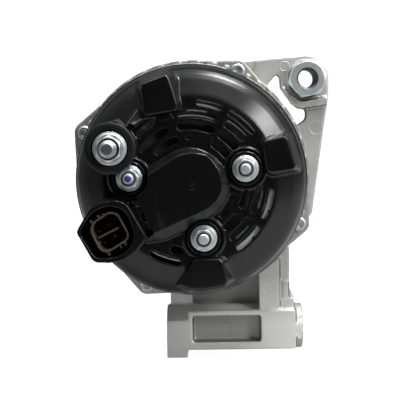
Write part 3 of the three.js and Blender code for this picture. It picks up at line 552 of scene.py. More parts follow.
def enamelled_copper():
    shader = Shader("enamelled_copper")
    clouds = shader.noise(scale=140, detail=3, rough=0.6)
    grain = shader.noise(scale=1800, detail=2, rough=0.6)
    colour = shader.ramp(clouds, (0.25, (0.42, 0.16, 0.05)), (0.5, (0.66, 0.30, 0.10)),
                         (0.75, (0.80, 0.46, 0.20)))
    return shader.finish(Base_Color=colour, Metallic=1.0,
                         Roughness=shader.span(grain, low=0.20, high=0.34),
                         Normal=shader.bump(grain, strength=0.10, distance=0.0001),
                         Coat_Weight=0.6, Coat_Roughness=0.12, Coat_Tint=(0.95, 0.62, 0.25))


def grained(name, scale, rough, dark, light, metallic, smoothest, roughest, strength):
    """One noise drives colour, roughness and relief."""
    shader = Shader(name)
    grain = shader.noise(scale=scale, detail=3, rough=rough)
    return shader.finish(Base_Color=shader.ramp(grain, (0.3, dark), (0.7, light)),
                         Metallic=metallic,
                         Roughness=shader.span(grain, low=smoothest, high=roughest),
                         Normal=shader.bump(grain, strength=strength, distance=0.0001))


def blackened_steel():
    shader = Shader("blackened_steel")
    clouds = shader.noise(scale=110, detail=4, rough=0.6, warp=0.5)
    rings = shader.noise(scale=900, detail=2, rough=0.6, stretch=(0.03, 10.0, 0.03))
    colour = shader.ramp(clouds, (0.3, (0.030, 0.031, 0.033)), (0.7, (0.055, 0.057, 0.060)))
    colour = shader.worn_edges(colour, start=0.515, end=0.58, amount=0.75,
                               towards=(0.36, 0.36, 0.37))
    return shader.finish(Base_Color=colour, Metallic=0.8,
                         Roughness=shader.span(rings, low=0.26, high=0.42),
                         Normal=shader.bump(rings, strength=0.12, distance=0.0001))


CAST = cast_aluminium("cast_aluminium", painted_dimming=1.0)
# darker copies of the same casting as painted shade: for recess floors, for side walls and
# openings, and for the rear frame
CAST_RECESS_PAINTED_SHADE = cast_aluminium("cast_recess_painted_shade", painted_dimming=0.52)
CAST_WALL_PAINTED_SHADE = cast_aluminium("cast_side_wall_painted_shade", painted_dimming=0.30)
CAST_REAR_PAINTED_SHADE = cast_aluminium("cast_rear_frame_painted_shade", painted_dimming=0.66)
# name, base grey, smoothest, roughest, grain strength
BLACK = dark_plastic("black_plastic", 0.0068, 0.21, 0.30, 0.08)
COLLAR = dark_plastic("dark_insulator", 0.009, 0.36, 0.46, 0.14)
BACKING = dark_plastic("dark_backing", 0.035, 0.40, 0.52, 0.10)
PAINT = plastic("violet_paint", (0.055, 0.045, 0.30), (0.12, 0.10, 0.50), 0.38, 0.50, 0.05)
BROWN = brown_plastic()
# name, colour, smoothest, roughest; the second, for hexagon flanks, is a dark copy as painted shade
ZINC = zinc("zinc_plate", (0.88, 0.93, 0.93), 0.44, 0.57)
ZINC_SIDE_PAINTED_SHADE = zinc("zinc_side_painted_shade", (0.26, 0.29, 0.30), 0.40, 0.52)
ZINC_BUSH = zinc("zinc_bush", (0.86, 0.92, 0.92), 0.45, 0.58)
ZINC_STUD = zinc("stud_zinc", (0.90, 0.95, 0.95), 0.50, 0.62)
# name, dark grey, light grey, smoothest, roughest; the first, for bores, is dark as painted shade
# in the holes
BORE_PAINTED_SHADE = steel("bore_wall_painted_shade", 0.10, 0.18, 0.45, 0.6, turned=True)
STEEL = steel("machined_steel", 0.34, 0.50, 0.25, 0.42, turned=True)
STUD = steel("stud_steel", 0.40, 0.56, 0.38, 0.52)
PLATE = steel("stamped_metal", 0.26, 0.38, 0.28, 0.42)
TINNED = steel("tinned_metal", 0.80, 0.95, 0.34, 0.46, metallic=0.45)
LAMINATED = laminations()
COPPER = enamelled_copper()
GOLD = grained("plated_contact", scale=500, rough=0.6, dark=(0.62, 0.47, 0.22),
               light=(0.86, 0.70, 0.36), metallic=1.0, smoothest=0.18, roughest=0.34,
               strength=0.08)
CARBON = grained("pressed_carbon", scale=3000, rough=0.7, dark=(0.018, 0.018, 0.019),
                 light=(0.05, 0.05, 0.052), metallic=0.2, smoothest=0.45, roughest=0.7,
                 strength=0.3)
PULLEY_BLACK = blackened_steel()

# ---------------------------------------------------------------- shared dimensions
CASING_R, CORE_R, CORE_BORE = 68.5, 65.0, 49.5
SPLIT, REAR_RIM = 4.0, 3.95     # y where the drive-end casting starts and the rear one ends
BOLT_R, BOLT_SEAT = 67.3, -22.0
BOLT_ANGLES = (66.0, 156.0, 246.0, 336.0)
BOLTS = [polar(BOLT_R, angle) for angle in BOLT_ANGLES]
OUTPUT = (-43.1, 19.85)
STUDS = ((-33.4, 3.2), (30.3, 7.5), (6.9, -30.4))
EAR = (69.2, 56.9)
FOOT_Z, FOOT_R = -91.6, 13.5

# ---------------------------------------------------------------- rear cover
# (radius, y) of the shell and of the hollow inside it
COVER_OUTSIDE = [
    (0, -60), (45.9, -60), (47.6, -59.75), (49.2, -59.0), (57.0, -54.6), (59.8, -52.6),
    (61.9, -50.2), (63.4, -47.0), (64.3, -43.0), (64.7, -38.6), (65.7, -37.6), (65.7, -36),
    (0, -36)]
COVER_INSIDE = [(0, -57.8), (46.6, -57.5), (56.0, -52.4), (60.4, -48.2), (62.4, -43),
                (63.5, -35), (0, -35)]
# (x, z) of the central boss over the brushes, at its flat top and at its base
BOSS_TOP = [
    (-22.9, 5.0), (-15.6, 9.3), (-6.4, 15.2), (-2.4, 16.3), (0.3, 16.6), (4.0, 16.4),
    (9.4, 15.2), (12.1, 12.8), (14.9, 8.4), (16.5, 4.4), (17.3, -1.0), (16.4, -5.8),
    (13.9, -10.1), (10.0, -13.6), (4.0, -16.5), (-5.8, -20.7), (-14.1, -24.4), (-21.2, -27.6),
    (-29.3, -10.0), (-28.6, -3.6)]
BOSS_BASE = [
    (-25.2, 7.5), (-18.2, 11.4), (-8.0, 17.1), (-4.2, 18.3), (0.2, 19.0), (4.5, 18.4),
    (9.6, 16.2), (13.6, 13.2), (18.5, 7.9), (20.4, 4.0), (21.3, -1.2), (20.6, -6.6),
    (17.9, -12.0), (12.6, -17.6), (4.8, -22.4), (-6.2, -27.4), (-14.5, -30.9), (-24.4, -32.4),
    (-31.0, -11.4), (-30.6, -3.4)]
# flat-topped boxes near eleven, three and six o'clock: (x, z) of the top, then (x, z, y)
# where the sloped walls meet the shell
RAISED_BOXES = (
    ([(-25.6, 51.2), (-25.3, 54.3), (-12.6, 59.0), (-11.0, 58.2), (-10.2, 55.8), (-6.4, 42.2),
      (-7.0, 39.7), (-24.0, 37.2)],
     [(-29.9, 52.9, -51), (-28.2, 58.8, -40.5), (-14.5, 63.5, -40.5), (-10.7, 64.0, -41),
      (-5.4, 57.1, -54.2), (-3.4, 42.0, -59.9), (-6.2, 38.6, -59.9), (-24.7, 35.4, -59.9)]),
    ([(39.9, 20.9), (41.8, 22.5), (51.5, 24.8), (53.2, 23.7), (57.3, 8.6), (56.3, 6.6),
      (43.7, 5.0), (42.1, 6.5)],
     [(38.1, 21.7, -59.9), (41.0, 24.9, -59.8), (54.3, 28.8, -50.2), (58.1, 26.5, -44),
      (63.3, 9.5, -44.5), (62.6, 4.1, -47), (44.2, 2.2, -59.9), (40.7, 4.7, -59.9)]),
    ([(1.5, -42.2), (15.3, -42.0), (16.9, -43.7), (19.3, -55.1), (17.6, -57.3), (5.9, -59.2),
      (-2.4, -58.6), (-6.2, -56.0)],
     [(-0.3, -40.9, -59.9), (17.2, -40.4, -59.9), (20.5, -43.9, -59.9), (23.5, -54.6, -53.3),
      (21.5, -61.6, -44), (7.1, -65.0, -42), (-4.8, -65.0, -42), (-10.4, -57.7, -54.1)]))
BOX_TOP_Y, BOX_LOW_Y = -64.0, -38.5
# (x, z) of the hood round the plug, and of the receptacle inside it
HOOD_OUT = [
    (-40.9, -7.7), (-48.1, -9.0), (-54.2, -12.2), (-60.9, -22.9), (-61.7, -25.1),
    (-53.6, -40.2), (-51.2, -41.7), (-42.9, -41.8), (-39.0, -41.2), (-34.6, -39.4),
    (-30.1, -36.1), (-25.5, -30.4), (-24.5, -29.0), (-24.4, -27.3), (-29.1, -18.9),
    (-31.8, -13.9), (-33.9, -10.6), (-37.1, -8.6)]
HOOD_IN = [
    (-43.1, -11.0), (-48.0, -11.8), (-52.9, -14.4), (-56.2, -18.4), (-59.5, -24.2),
    (-59.5, -26.2), (-52.9, -37.5), (-50.6, -39.2), (-44.9, -39.2), (-39.5, -38.3),
    (-34.8, -35.4), (-32.0, -31.9), (-30.9, -28.3), (-31.2, -23.3), (-33.5, -16.6),
    (-37.2, -12.4)]
RECEPTACLE = [
    (-44.5, -14.0), (-41.2, -14.1), (-39.1, -15.4), (-33.6, -25.6), (-33.4, -28.2),
    (-34.6, -30.0), (-43.0, -35.5), (-45.6, -36.6), (-48.5, -35.9), (-50.2, -34.1),
    (-54.5, -24.9), (-54.2, -21.9), (-52.5, -19.2)]
PLUG_CENTRE = (-43.9, -25.4)
HOOD_HOLE = rounded(HOOD_IN, 2.0)
# rows of curved slots: radius, half width, (start, end) angles
SLOT_ROWS = (
    (44.3, 1.95, ((66, 84), (38, 60), (-26, -6), (-55, -35), (240, 261))),
    (37.9, 2.15, ((67, 102), (39, 58), (-25, -4), (-54, -34), (254, 261), (108, 137))),
    (31.2, 2.2, ((67, 100), (38, 57), (-25, -11), (-52, -38), (114, 145))),
    (24.8, 1.9, ((-47, -18), (107, 137), (36, 58))))
SLOT_TRIM = 1.5     # degrees taken off each end for the rounding
# (x, z) of the fin, of the window beside the boss and of the notch in the lower left rim
FIN = [(-47.0, 33.0), (-39.4, 35.1), (-33.6, 30.6), (-43, 25)]
WINDOW = [(-31.5, -13.8), (-32.4, -9.8), (-30.4, -8.9), (-28.9, -8.7), (-20.1, -27.1),
          (-24.0, -29.3), (-24.1, -27.4), (-28.8, -18.8)]
NOTCH = [(-12.2, -67), (-12.2, -61.5), (-4.1, -61.5), (-1.0, -63.5), (0.5, -67)]
# (x, y, z) of the ramp beside the fin: outer face, then inner face
RAMP = ([(-28.7, -60.2, 39.5), (-23.9, -60.2, 35.9), (-31.6, -65.2, 31.3), (-34.9, -65.2, 31.5)],
        [(-29.6, -57, 40.8), (-22.7, -57, 36.2), (-31.4, -57, 29.8), (-36.4, -57, 31.2)])


def raised_box(top, foot):
    """Sloped walls from the top to the foot points, plumb below them."""
    return skin([[(x, BOX_TOP_Y, z) for x, z in top], [(x, y, z) for x, z, y in foot],
                 [(x, BOX_LOW_Y, z) for x, z, _ in foot]])


def boss_section(part_way):
    return [(base[0] + (top[0] - base[0]) * part_way, base[1] + (top[1] - base[1]) * part_way)
            for base, top in zip(BOSS_BASE, BOSS_TOP)]


def rear_cover():
    hood = rounded(HOOD_OUT, 2.2)
    skirt = combine(prism(hood, -48.5, -38), ("-", lathe(COVER_INSIDE, 128)))
    slots = [prism(arc_slot(radius, half, start + SLOT_TRIM, end - SLOT_TRIM), -64, -50)
             for radius, half, spans in SLOT_ROWS for start, end in spans]
    steps = [("+", loft([(-59.2, BOSS_BASE), (-61.4, BOSS_BASE), (-65.4, boss_section(0.90)),
                         (-66, boss_section(1.0))]))]
    steps += [("+", soften(raised_box(*points), 0.6, 10)) for points in RAISED_BOXES]
    steps += [
        ("+", rod(OUTPUT, 14.1, -64.5, -44, 72)),
        ("+", prism(FIN, -64.5, -50)),
        ("+", skin(RAMP))]
    steps += [("+", rod(at, 11.7, -60.9, -58.5, 64)) for at in STUDS]
    steps += [
        ("-", lathe(COVER_INSIDE, 128)),
        ("+", tube(OUTPUT, 10.4, 14.1, -64.5, -55.2, 72)),
        ("+", prism(hood, -72, -48)),
        ("+", skirt),
        ("-", prism(HOOD_HOLE, -73, -50)),
        ("-", prism(scaled_about(BOSS_TOP, (-3, -5), 0.88), -63.8, -55)),
        ("-", rod(OUTPUT, 10.4, -70, -40, 64)),
        # wells for the fixing nuts: opened, floored again and drilled for the studs
        ("-", rods(STUDS, 10.4, -66, -58.9, 64)),
        ("+", rods(STUDS, 10.6, -59.3, -57.0, 64)),
        ("-", rods(STUDS, 3.3, -64, -50, 32)),
        ("-", prism(rounded(scaled_about(RECEPTACLE, PLUG_CENTRE, 1.06), 1.5), -51, -47)),
        ("-", merged(slots)),
        ("-", rods(((-0.53, 24.8), (13.23, 23.09)), 1.2, -64, -50, 32)),
        ("-", prism(WINDOW, -67, -55)),
        ("-", prism(NOTCH, -41, -35)),
        ("-", rod((-32.1, 31.2), 1.5, -68, -50, 32))]
    shell = combine(lathe(COVER_OUTSIDE, 160), *steps)
    return shade(soften(shell, 0.48, 3, 0.40))


place(rear_cover(), "rear_cover_shell", BLACK, "black_plastic", "rear_cover")

# mould gate mark in the middle of the boss, (radius, y)
GATE_MARK = [(0, -65.6), (2.75, -65.6), (2.6, -65.98), (2.3, -66.12), (1.9, -66.12),
             (1.5, -65.98), (0.7, -65.94), (0.5, -66.1), (0, -66.1)]
place(shade(lathe(GATE_MARK, 48, (0.94, -1.07)), 40), "cover_gate_mark", BLACK, "black_plastic")

# double-lipped ring round each fixing nut, (radius, y)
NUT_SEAT = [
    (7.9, -60.4), (8.2, -61.6), (8.55, -62.0), (9.1, -62.0), (9.45, -61.6), (9.6, -60.3),
    (10.35, -60.3), (10.5, -61.4), (10.85, -61.75), (11.35, -61.75), (11.7, -61.35),
    (12.0, -59.4), (12.0, -58.6), (7.9, -58.6)]
for i, at in enumerate(STUDS):
    seat = lathe(NUT_SEAT, 96, at)
    if i == 0:
        # the first ring is cut back where it meets the output tower
        combine(seat, ("-", rod(OUTPUT, 13.6, -64, -50, 64)))
    shade(bevel(seat, 0.12, angle=25))
    place(seat, "cover_nut_seat_%d" % (i + 1), BLACK, "black_plastic")

# ---------------------------------------------------------------- output terminal, (radius, y)
INSULATOR = [
    (4.2, -66.3), (10.1, -66.3), (10.35, -67.3), (10.6, -67.5), (13.75, -67.5),
    (14.05, -67.2), (14.1, -66.8), (14.1, -64.75), (13.9, -64.6), (10.2, -64.6),
    (10.2, -54.1), (4.2, -54.1)]
insulator = combine(lathe(INSULATOR, 96, OUTPUT), ("-", rod(STUDS[0], 6.5, -70, -60, 64)))
place(shade(insulator, 50), "output_insulator", COLLAR, "insulator", "b_plus_insulator")


def hexagon(at, across_flats, y_out, y_in, turn):
    """Hexagon whose outward end (lower y) is turned to a 30 degree chamfer."""
    corner, face = across_flats / math.sqrt(3), across_flats / 2 * 0.965
    drop = (corner - face) * 0.58
    turned = [(0, y_out), (face, y_out), (corner + 0.3, y_out + drop + 0.17),
              (corner + 0.3, y_in), (0, y_in)]
    return combine(prism(hex_points(at, across_flats, turn), y_out - 1, y_in + 1),
                   ("&", lathe(turned, 96, at)))


def flange_nut(at, flange_r, across_flats, y_seat, y_hex, y_end, bore, sink, turn, name, node):
    """Flanged nut; the outward end of its bore is countersunk to the radius sink."""
    flange = [(0, y_seat), (flange_r - 0.2, y_seat), (flange_r, y_seat - 0.3),
              (flange_r, y_seat - 0.75), (flange_r - 0.3, y_seat - 1.05),
              (flange_r - 0.9, y_seat - 1.15), (across_flats * 0.60, y_hex), (0, y_hex)]
    hole = [(0, y_seat + 1), (bore, y_seat + 1), (bore, y_end + (sink - bore) * 0.9),
            (sink, y_end), (sink, y_end - 0.5), (0, y_end - 0.5)]
    nut = combine(lathe(flange, 96, at),
                  ("+", hexagon(at, across_flats, y_end, y_hex + 0.6, turn)),
                  ("-", lathe(hole, 96, at)))
    machined(nut, 0.11)
    place(nut, name, (ZINC, ZINC_SIDE_PAINTED_SHADE, BORE_PAINTED_SHADE), "zinc", node)
    # painted shade: the countersink and bore take the dark bore steel, and the hexagon's flanks a
    # dark copy of the zinc
    for face, x, y, z in placed_faces(nut):
        radius = math.hypot(x - at[0], z - at[1])
        if radius < sink - 0.05 and y < y_hex:
            face.material_index = 2
        elif radius < across_flats * 0.66 and abs(face.normal.y) < 0.42:
            face.material_index = 1


THREAD_STEPS = 6    # rings of vertices per turn of thread


def threaded(at, radius, pitch, y_tip, y_end, depth, count, chamfer=1.2, dome=0.25, tip=None,
             plain_end=None):
    """Stud along Y, threaded from its domed tip to y_end, then plain to plain_end if given."""
    tip = tip or radius - depth
    steps = int((y_end - y_tip) / pitch * THREAD_STEPS)
    verts, faces = [], []
    for j in range(steps + 1):
        y = y_tip + (y_end - y_tip) * j / steps
        fade = min(1.0, (y - y_tip) / chamfer)
        for i in range(count):
            phase = ((y - y_tip) / pitch + i / count) % 1.0
            wave = abs(2 * phase - 1)
            reach = radius - depth * min(1.0, max(0.0, (wave - 0.12) / 0.76))
            reach = min(reach, tip + (radius - tip) * fade)
            angle = 2 * math.pi * i / count
            verts.append((at[0] + reach * math.cos(angle), y, at[1] + reach * math.sin(angle)))
    for j in range(steps):
        faces += band(j * count, (j + 1) * count, count)
    pairs = [(i, (i + 1) % count) for i in range(count)]
    edge = 0
    for width, rise in ((0.86, 0.35), (0.55, 0.8)):
        start = len(verts)
        verts += ring(at, tip * width, y_tip - dome * rise, count)
        faces += [(edge + j, edge + i, start + i, start + j) for i, j in pairs]
        edge = start
    faces += [(edge + i, len(verts), edge + j) for i, j in pairs]
    verts.append((at[0], y_tip - dome, at[1]))
    last = steps * count
    if plain_end:
        start = len(verts)
        verts += ring(at, radius * 0.97, plain_end, count)
        faces += band(last, start, count)
        last = start
    faces.append(tuple(last + i for i in range(count)))
    return make(verts, faces)


stud = merged([threaded(OUTPUT, 4.75, 1.25, -81.8, -66.6, depth=0.6, count=40, chamfer=1.7,
                        dome=0.2, tip=3.1),
               rod(OUTPUT, 3.95, -66.5, -51.9, 40)])
HEAD_HALF = 5.2     # half the width of the output stud's square head
head = prism([(OUTPUT[0] + x * HEAD_HALF, OUTPUT[1] + z * HEAD_HALF)
              for x, z in ((-1, -1), (1, -1), (1, 1), (-1, 1))], -51.95, -49)
stud = merged([stud, bake(bevel(head, 0.3))])
place(shade(stud, 50), "output_stud", STUD, "zinc", "b_plus_stud")
flange_nut(OUTPUT, flange_r=9.3, across_flats=12.9, y_seat=-66.4, y_hex=-68.5, y_end=-75,
           bore=4.8, sink=5.9, turn=29, name="output_nut", node="b_plus_nut")

# ---------------------------------------------------------------- fixings
for i, (at, turn) in enumerate(zip(STUDS, (12, 40, 5)), 1):
    stud = threaded(at, 2.95, 1.0, -68.4, -59, depth=0.45, count=28, chamfer=0.9, plain_end=-37)
    place(shade(stud, 50), "cover_fixing_stud_%d" % i, ZINC_STUD, "zinc", "cover_stud_%d" % i)
    flange_nut(at, flange_r=7.3, across_flats=10.0, y_seat=-61.05, y_hex=-63.0, y_end=-67,
               bore=3.0, sink=4.1, turn=turn, name="cover_fixing_nut_%d" % i,
               node="cover_nut_%d" % i)

# dab of marking paint on the first stud's end
dab = lathe([(0, -69.0), (0.9, -68.95), (1.5, -68.8), (1.9, -68.45), (1.5, -68.3), (0, -68.3)],
            32, (STUDS[0][0] - 0.1, STUDS[0][1] + 0.1))
place(shade(dab), "stud_paint_mark", PAINT, "zinc")

# casing bolts: (radius, y) of the flange and shank, and of the dimple in the head
BOLT_BODY = [
    (0, BOLT_SEAT - 1.3), (3.6, BOLT_SEAT - 1.3), (4.0, BOLT_SEAT - 1.0),
    (4.1, BOLT_SEAT - 0.5), (4.1, BOLT_SEAT - 0.05), (2.5, BOLT_SEAT - 0.05), (2.5, 24.0),
    (0, 24.2)]
BOLT_DIMPLE = [(0, BOLT_SEAT - 6), (2.3, BOLT_SEAT - 6), (2.1, BOLT_SEAT - 4.5),
               (0, BOLT_SEAT - 4.2)]
for i, at in enumerate(BOLTS):
    bolt = combine(lathe(BOLT_BODY, 64, at),
                   ("+", hexagon(at, 6.8, BOLT_SEAT - 5, BOLT_SEAT - 1.1, 15 + 20 * i)),
                   ("-", lathe(BOLT_DIMPLE, 48, at)))
    place(machined(bolt, 0.12), "casing_bolt_%d" % (i + 1), ZINC, "zinc",
          "through_bolt_%d" % (i + 1))

# bush in the ear: hexagon head, sleeve and a bore flared at both ends, (radius, y)
BUSH_TURN = 12.5
BUSH_BORE = [(0, -6), (6.5, -6), (6.5, -2.0), (5.7, -1.3), (5.5, -1.0), (5.5, 32.2),
             (6.4, 33.2), (6.4, 36), (0, 36)]
bush = combine(hexagon(EAR, 20.5, -2, 5, BUSH_TURN), ("+", rod(EAR, 8.0, 4.5, 33, 64)),
               ("-", lathe(BUSH_BORE, 96, EAR)))
machined(bush, 0.25)
place(bush, "ear_bush_steel", (ZINC_BUSH, BORE_PAINTED_SHADE), "zinc", "ear_bush")
# painted shade: the bore's walls take the dark bore steel
for face, x, y, z in placed_faces(bush):
    if math.hypot(x - EAR[0], z - EAR[1]) < 6.45 and abs(face.normal.y) < 0.93:
        face.material_index = 1

# ---------------------------------------------------------------- plug receptacle
ALONG = Vector((math.cos(math.radians(30.5)), math.sin(math.radians(30.5))))
ACROSS = Vector((-ALONG.y, ALONG.x))
# small tabs: start and end along, start and end across, outward y
PLUG_TABS = (
    (-6.4, -4.9, 8.6, 11.0, -69), (-1.6, -0.2, 9.0, 11.4, -69.4), (1.2, 2.4, 9.2, 10.9, -69),
    (-7.6, -6.4, -11.0, -8.2, -69), (3.0, 5.0, -10.8, -8.6, -68.5),
    (0.3, 1.4, -11.0, -9.0, -68.5), (-9.4, -8.0, -3.0, -1.6, -67))
PLUG_RIB = [(-50.3, -29.2), (-50.8, -28.2), (-39.4, -22.5), (-38.9, -23.5)]
PLUG_PINS = ((-44.9, -22.0), (-50.2, -25.4), (-41.4, -28.1), (-47.2, -31.4))


def turned_rectangle(centre, u0, u1, w0, w1):
    return [tuple(Vector(centre) + ALONG * u + ACROSS * w)
            for u, w in ((u0, w0), (u1, w0), (u1, w1), (u0, w1))]


def plug_receptacle():
    cavity = rounded(scaled_about(RECEPTACLE, PLUG_CENTRE, 0.885), 1.4)
    steps = [("-", prism(cavity, -71, -54)), ("+", prism(PLUG_RIB, -68.4, -53.5))]
    steps += [("+", prism(turned_rectangle(PLUG_CENTRE, *sides), y, -52))
              for *sides, y in PLUG_TABS]
    steps.append(("&", prism(scaled_about(HOOD_HOLE, (-44.6, -25.3), 0.985), -80, -40)))
    steps += [("-", prism(turned_rectangle(at, -1.1, 1.1, -0.7, 0.7), -64, -42))
              for at in PLUG_PINS]
    shell = combine(prism(rounded(RECEPTACLE, 1.6), -70, -45), *steps)
    return shade(soften(shell, 0.3, 2, 0.4))


place(plug_receptacle(), "plug_receptacle_shell", BROWN, "brown_plastic", "plug_receptacle")

# ---------------------------------------------------------------- casting: rear frame
REAR_INSIDE = [(0, -35.4), (60, -35.4), (62.6, -30), (62.6, -6.1), (65.6, -6.1), (65.6, 10),
               (0, 10)]
REAR_FRAME = [
    (9.2, -42), (21.5, -42), (22.5, -41.2), (23.2, -40), (60.6, -40), (62.0, -39),
    (63.0, -35.5), (65.6, -35.5), (66.1, -35.0), (66.3, -33), (67.4, -24), (CASING_R, -12),
    (CASING_R, REAR_RIM), (65.6, REAR_RIM), *REAR_INSIDE[4:0:-1], (21.5, -35.4),
    (21.5, -26.5), (17.7, -26.5), (17.7, -38.1), (9.2, -38.1)]
# (start, end) angles of the openings in the rear wall
REAR_OPENINGS = ((28, 68), (80, 120), (132, 160), (189, 230), (240, 268), (298, 355))


def bolt_ear(degrees, radius, half_angle, casing):
    """Rounded nose at the bolt, faired into the casing on both sides."""
    nose = points_round(polar(BOLT_R, degrees), radius, range(0, 360, 10))
    return hull(nose + [polar(casing, degrees + half_angle * t / 6) for t in range(-6, 7)])


def rear_frame():
    ears = []
    for angle, at in zip(BOLT_ANGLES, BOLTS):
        outline = bolt_ear(angle, 6.4, 18, 67.5)
        ear = loft([(BOLT_SEAT, scaled_about(outline, at, 0.965)), (BOLT_SEAT + 0.6, outline),
                    (REAR_RIM, outline)])
        ears.append(("+", combine(ear, ("-", lathe(REAR_INSIDE, 128)))))
    vents = [radial_block(60.5, 72, -32.5, -13.5, 3.0, angle)
             for angle in (9 * i + 3.0 for i in range(40))
             if all(abs((angle - bolt + 540) % 360 - 180) >= 4.6 for bolt in BOLT_ANGLES)]
    casting = combine(
        lathe(REAR_FRAME, 160),
        ("-", merged(vents)),
        *ears,
        ("-", rods(BOLTS, 2.65, BOLT_SEAT - 3, 8, 32)),
        ("-", rods(BOLTS, 6.0, -45, BOLT_SEAT, 48)),
        ("-", merged([prism(sector(25.5, 39, *span), -43, -34) for span in REAR_OPENINGS])),
        ("+", rods(STUDS, 6.0, -41.8, -35.4, 32)),
        ("-", rods(STUDS, 3.1, -43, -36.9, 24)))
    return shade(soften(casting, 0.7, 3, 0.45))


rear_casting = rear_frame()
place(rear_casting, "rear_frame_casting", (CAST_REAR_PAINTED_SHADE, CAST_WALL_PAINTED_SHADE), "cast_aluminium", "rear_frame")
# painted shade: the rear frame's side walls take the darkest copy of the casting
for face, x, y, z in placed_faces(rear_casting):
    if abs(face.normal.y) < 0.5 and y < -12:
        face.material_index = 1

# ---------------------------------------------------------------- casting: drive-end frame
# (radius, y) of the bowl's inner wall, from the core seat to the end wall
BOWL_WALL = [(65.6, 22.1), (62.8, 22.1), (61.4, 29), (57.5, 37.5), (53.5, 41.5), (48.5, 44.5)]
DRIVE_FRAME = [
    (15, 56), (27.2, 56), (28.0, 55.4), (28.5, 50.5), (50, 49), (56.5, 45.6), (61, 41),
    (64.6, 35.5), (67, 29), (68.2, 24), (CASING_R, 20), (CASING_R, SPLIT), (65.6, SPLIT),
    *BOWL_WALL, (31.5, 45), (31.5, 39.9), (23.8, 39.9), (23.8, 54.1), (15, 54.1)]
# (x, z) of the arm to the upper right ear, its raised face, its opening and a rib beside it
EAR_OUTLINE = [
    (0, 60), (20.3, 66.6), (40.2, 68.9), (47.5, 69.5), (69.0, 71.1), (73.0, 70.6),
    (77.5, 67.9), (82.5, 61.9), (82.6, 54.7), (82.5, 46.4), (81.1, 38.1), (71.8, -25.6),
    (50, -40), (30, 0)]
EAR_FACE = EAR_OUTLINE[2:] + [(36.5, 56)]
EAR_OPENING = [
    (44.8, 52.7), (50.6, 59.2), (51.9, 59.4), (53.3, 57.9), (53.6, 51.3), (62.2, 40.0),
    (64.6, 38.8), (68.2, 38.4), (68.8, 36.9), (68.7, 32.7), (66.3, 30.6), (62.0, 28.0),
    (61.0, 34.0), (50.0, 48.5)]
EAR_RIB = [(53.7, 51.6), (56.1, 51.5), (59.6, 47.3), (65.6, 43.3), (81.2, 46.0), (81.5, 41.2),
           (65.0, 38.8), (59.6, 40.7), (53.7, 49.2)]
EAR_BOSS = [(0, 5.1), (10.6, 5.1), (11.0, 9.5), (13.2, 9.5), (12.8, 32.2), (12.0, 33), (0, 33)]
# blocks of the leg down to the foot: x, y and z ranges
LEG_BLOCKS = (
    (38.5, 56.6, -10, 20, -82, -36), (38.5, 50.4, -11.2, 0, -82, -44),
    (50.0, 59.2, -10, 20, -82, -73), (52.3, 56.4, -11.0, 0, -73, -63),
    (-15, 40, 6, 20, -82, -55), (-15, -1.5, -2, 8, -82, -69.5),
    (-4.1, 60.0, -13.5, 8, -103.4, -79.9))
FOOT_BLOCK = (-17, -4.8, -13.5, 6, -107.9, -85.0)
# (x, z) of the pocket in the foot's rear face, at its mouth and at its floor
POCKET_MOUTH = [(-1.9, -99.0), (39.4, -99.0), (39.4, -82.5), (-1.9, -82.5)]
POCKET_FLOOR = [(-1.0, -98.1), (38.5, -98.1), (38.5, -83.4), (-1.0, -83.4)]


def drive_frame():
    steps = []
    for angle, at in zip(BOLT_ANGLES[1:], BOLTS[1:]):
        outline = bolt_ear(angle, 6.5, 18, 67.5)
        steps.append(("+", loft([(SPLIT, outline), (23.6, outline),
                                 (24.5, scaled_about(outline, at, 0.94))])))
    steps += [
        ("+", prism(rounded(EAR_OUTLINE, 3), 10.5, 21)),
        ("+", prism(rounded(EAR_FACE, 3), 8, 21)),
        ("+", lathe(EAR_BOSS, 72, EAR)),
        ("+", prism(rounded(EAR_RIB, 1.6), 3.5, 9))]
    steps += [("+", block(*sides)) for sides in LEG_BLOCKS]
    steps += [
        ("+", rod_along_x(-17, 64.2, FOOT_Z, FOOT_R, 96)),
        ("+", block(*FOOT_BLOCK)),
        # clear the rear casting and the inside of the bowl
        ("-", lathe([(0, -30), (69.4, -30), (69.4, SPLIT), (0, SPLIT)], 128)),
        ("-", lathe([(0, -30), (65.6, -30), *BOWL_WALL, (0, 44.5)], 128))]
    steps += [("-", prism(bolt_ear(BOLT_ANGLES[i], 7.4, 20, 68.7), -30, SPLIT))
              for i in (2, 3, 0)]
    windows = [rounded(sector(33.5, 47, 45 * i + 5, 45 * i + 38, 8), 1.5, 2) for i in range(8)]
    vents = [radial_block(52.5, 75, 28.5, 42, 5.2, 30 * i + 21)
             for i in range(12) if not 20 < 30 * i + 21 < 85]
    steps += [
        ("-", prism(rounded(EAR_OPENING, 2.0), 4, 24)),
        ("-", rod(EAR, 8.1, 0, 40, 64)),
        ("-", prism(hex_points(EAR, 21.3, BUSH_TURN), -6, 5.1)),
        ("-", rod_along_x(-20, 70, FOOT_Z, 5.5, 64)),
        ("-", loft([(-15, rounded(POCKET_MOUTH, 1.6)), (-6.9, rounded(POCKET_FLOOR, 1.6))])),
        ("-", rods(BOLTS, 2.65, SPLIT - 1, 24.6, 32)),
        ("-", merged([prism(window, 44, 52) for window in windows])),
        ("-", merged(vents)),
        ("-", rods([polar(27.4, 120 * i + 90) for i in range(3)], 2.12, 39, 47, 24))]
    return shade(soften(combine(lathe(DRIVE_FRAME, 160), *steps), 0.7, 2, 0.45))


drive_casting = drive_frame()
place(drive_casting, "drive_end_casting", (CAST, CAST_RECESS_PAINTED_SHADE, CAST_WALL_PAINTED_SHADE), "cast_aluminium",
      "drive_end_frame")

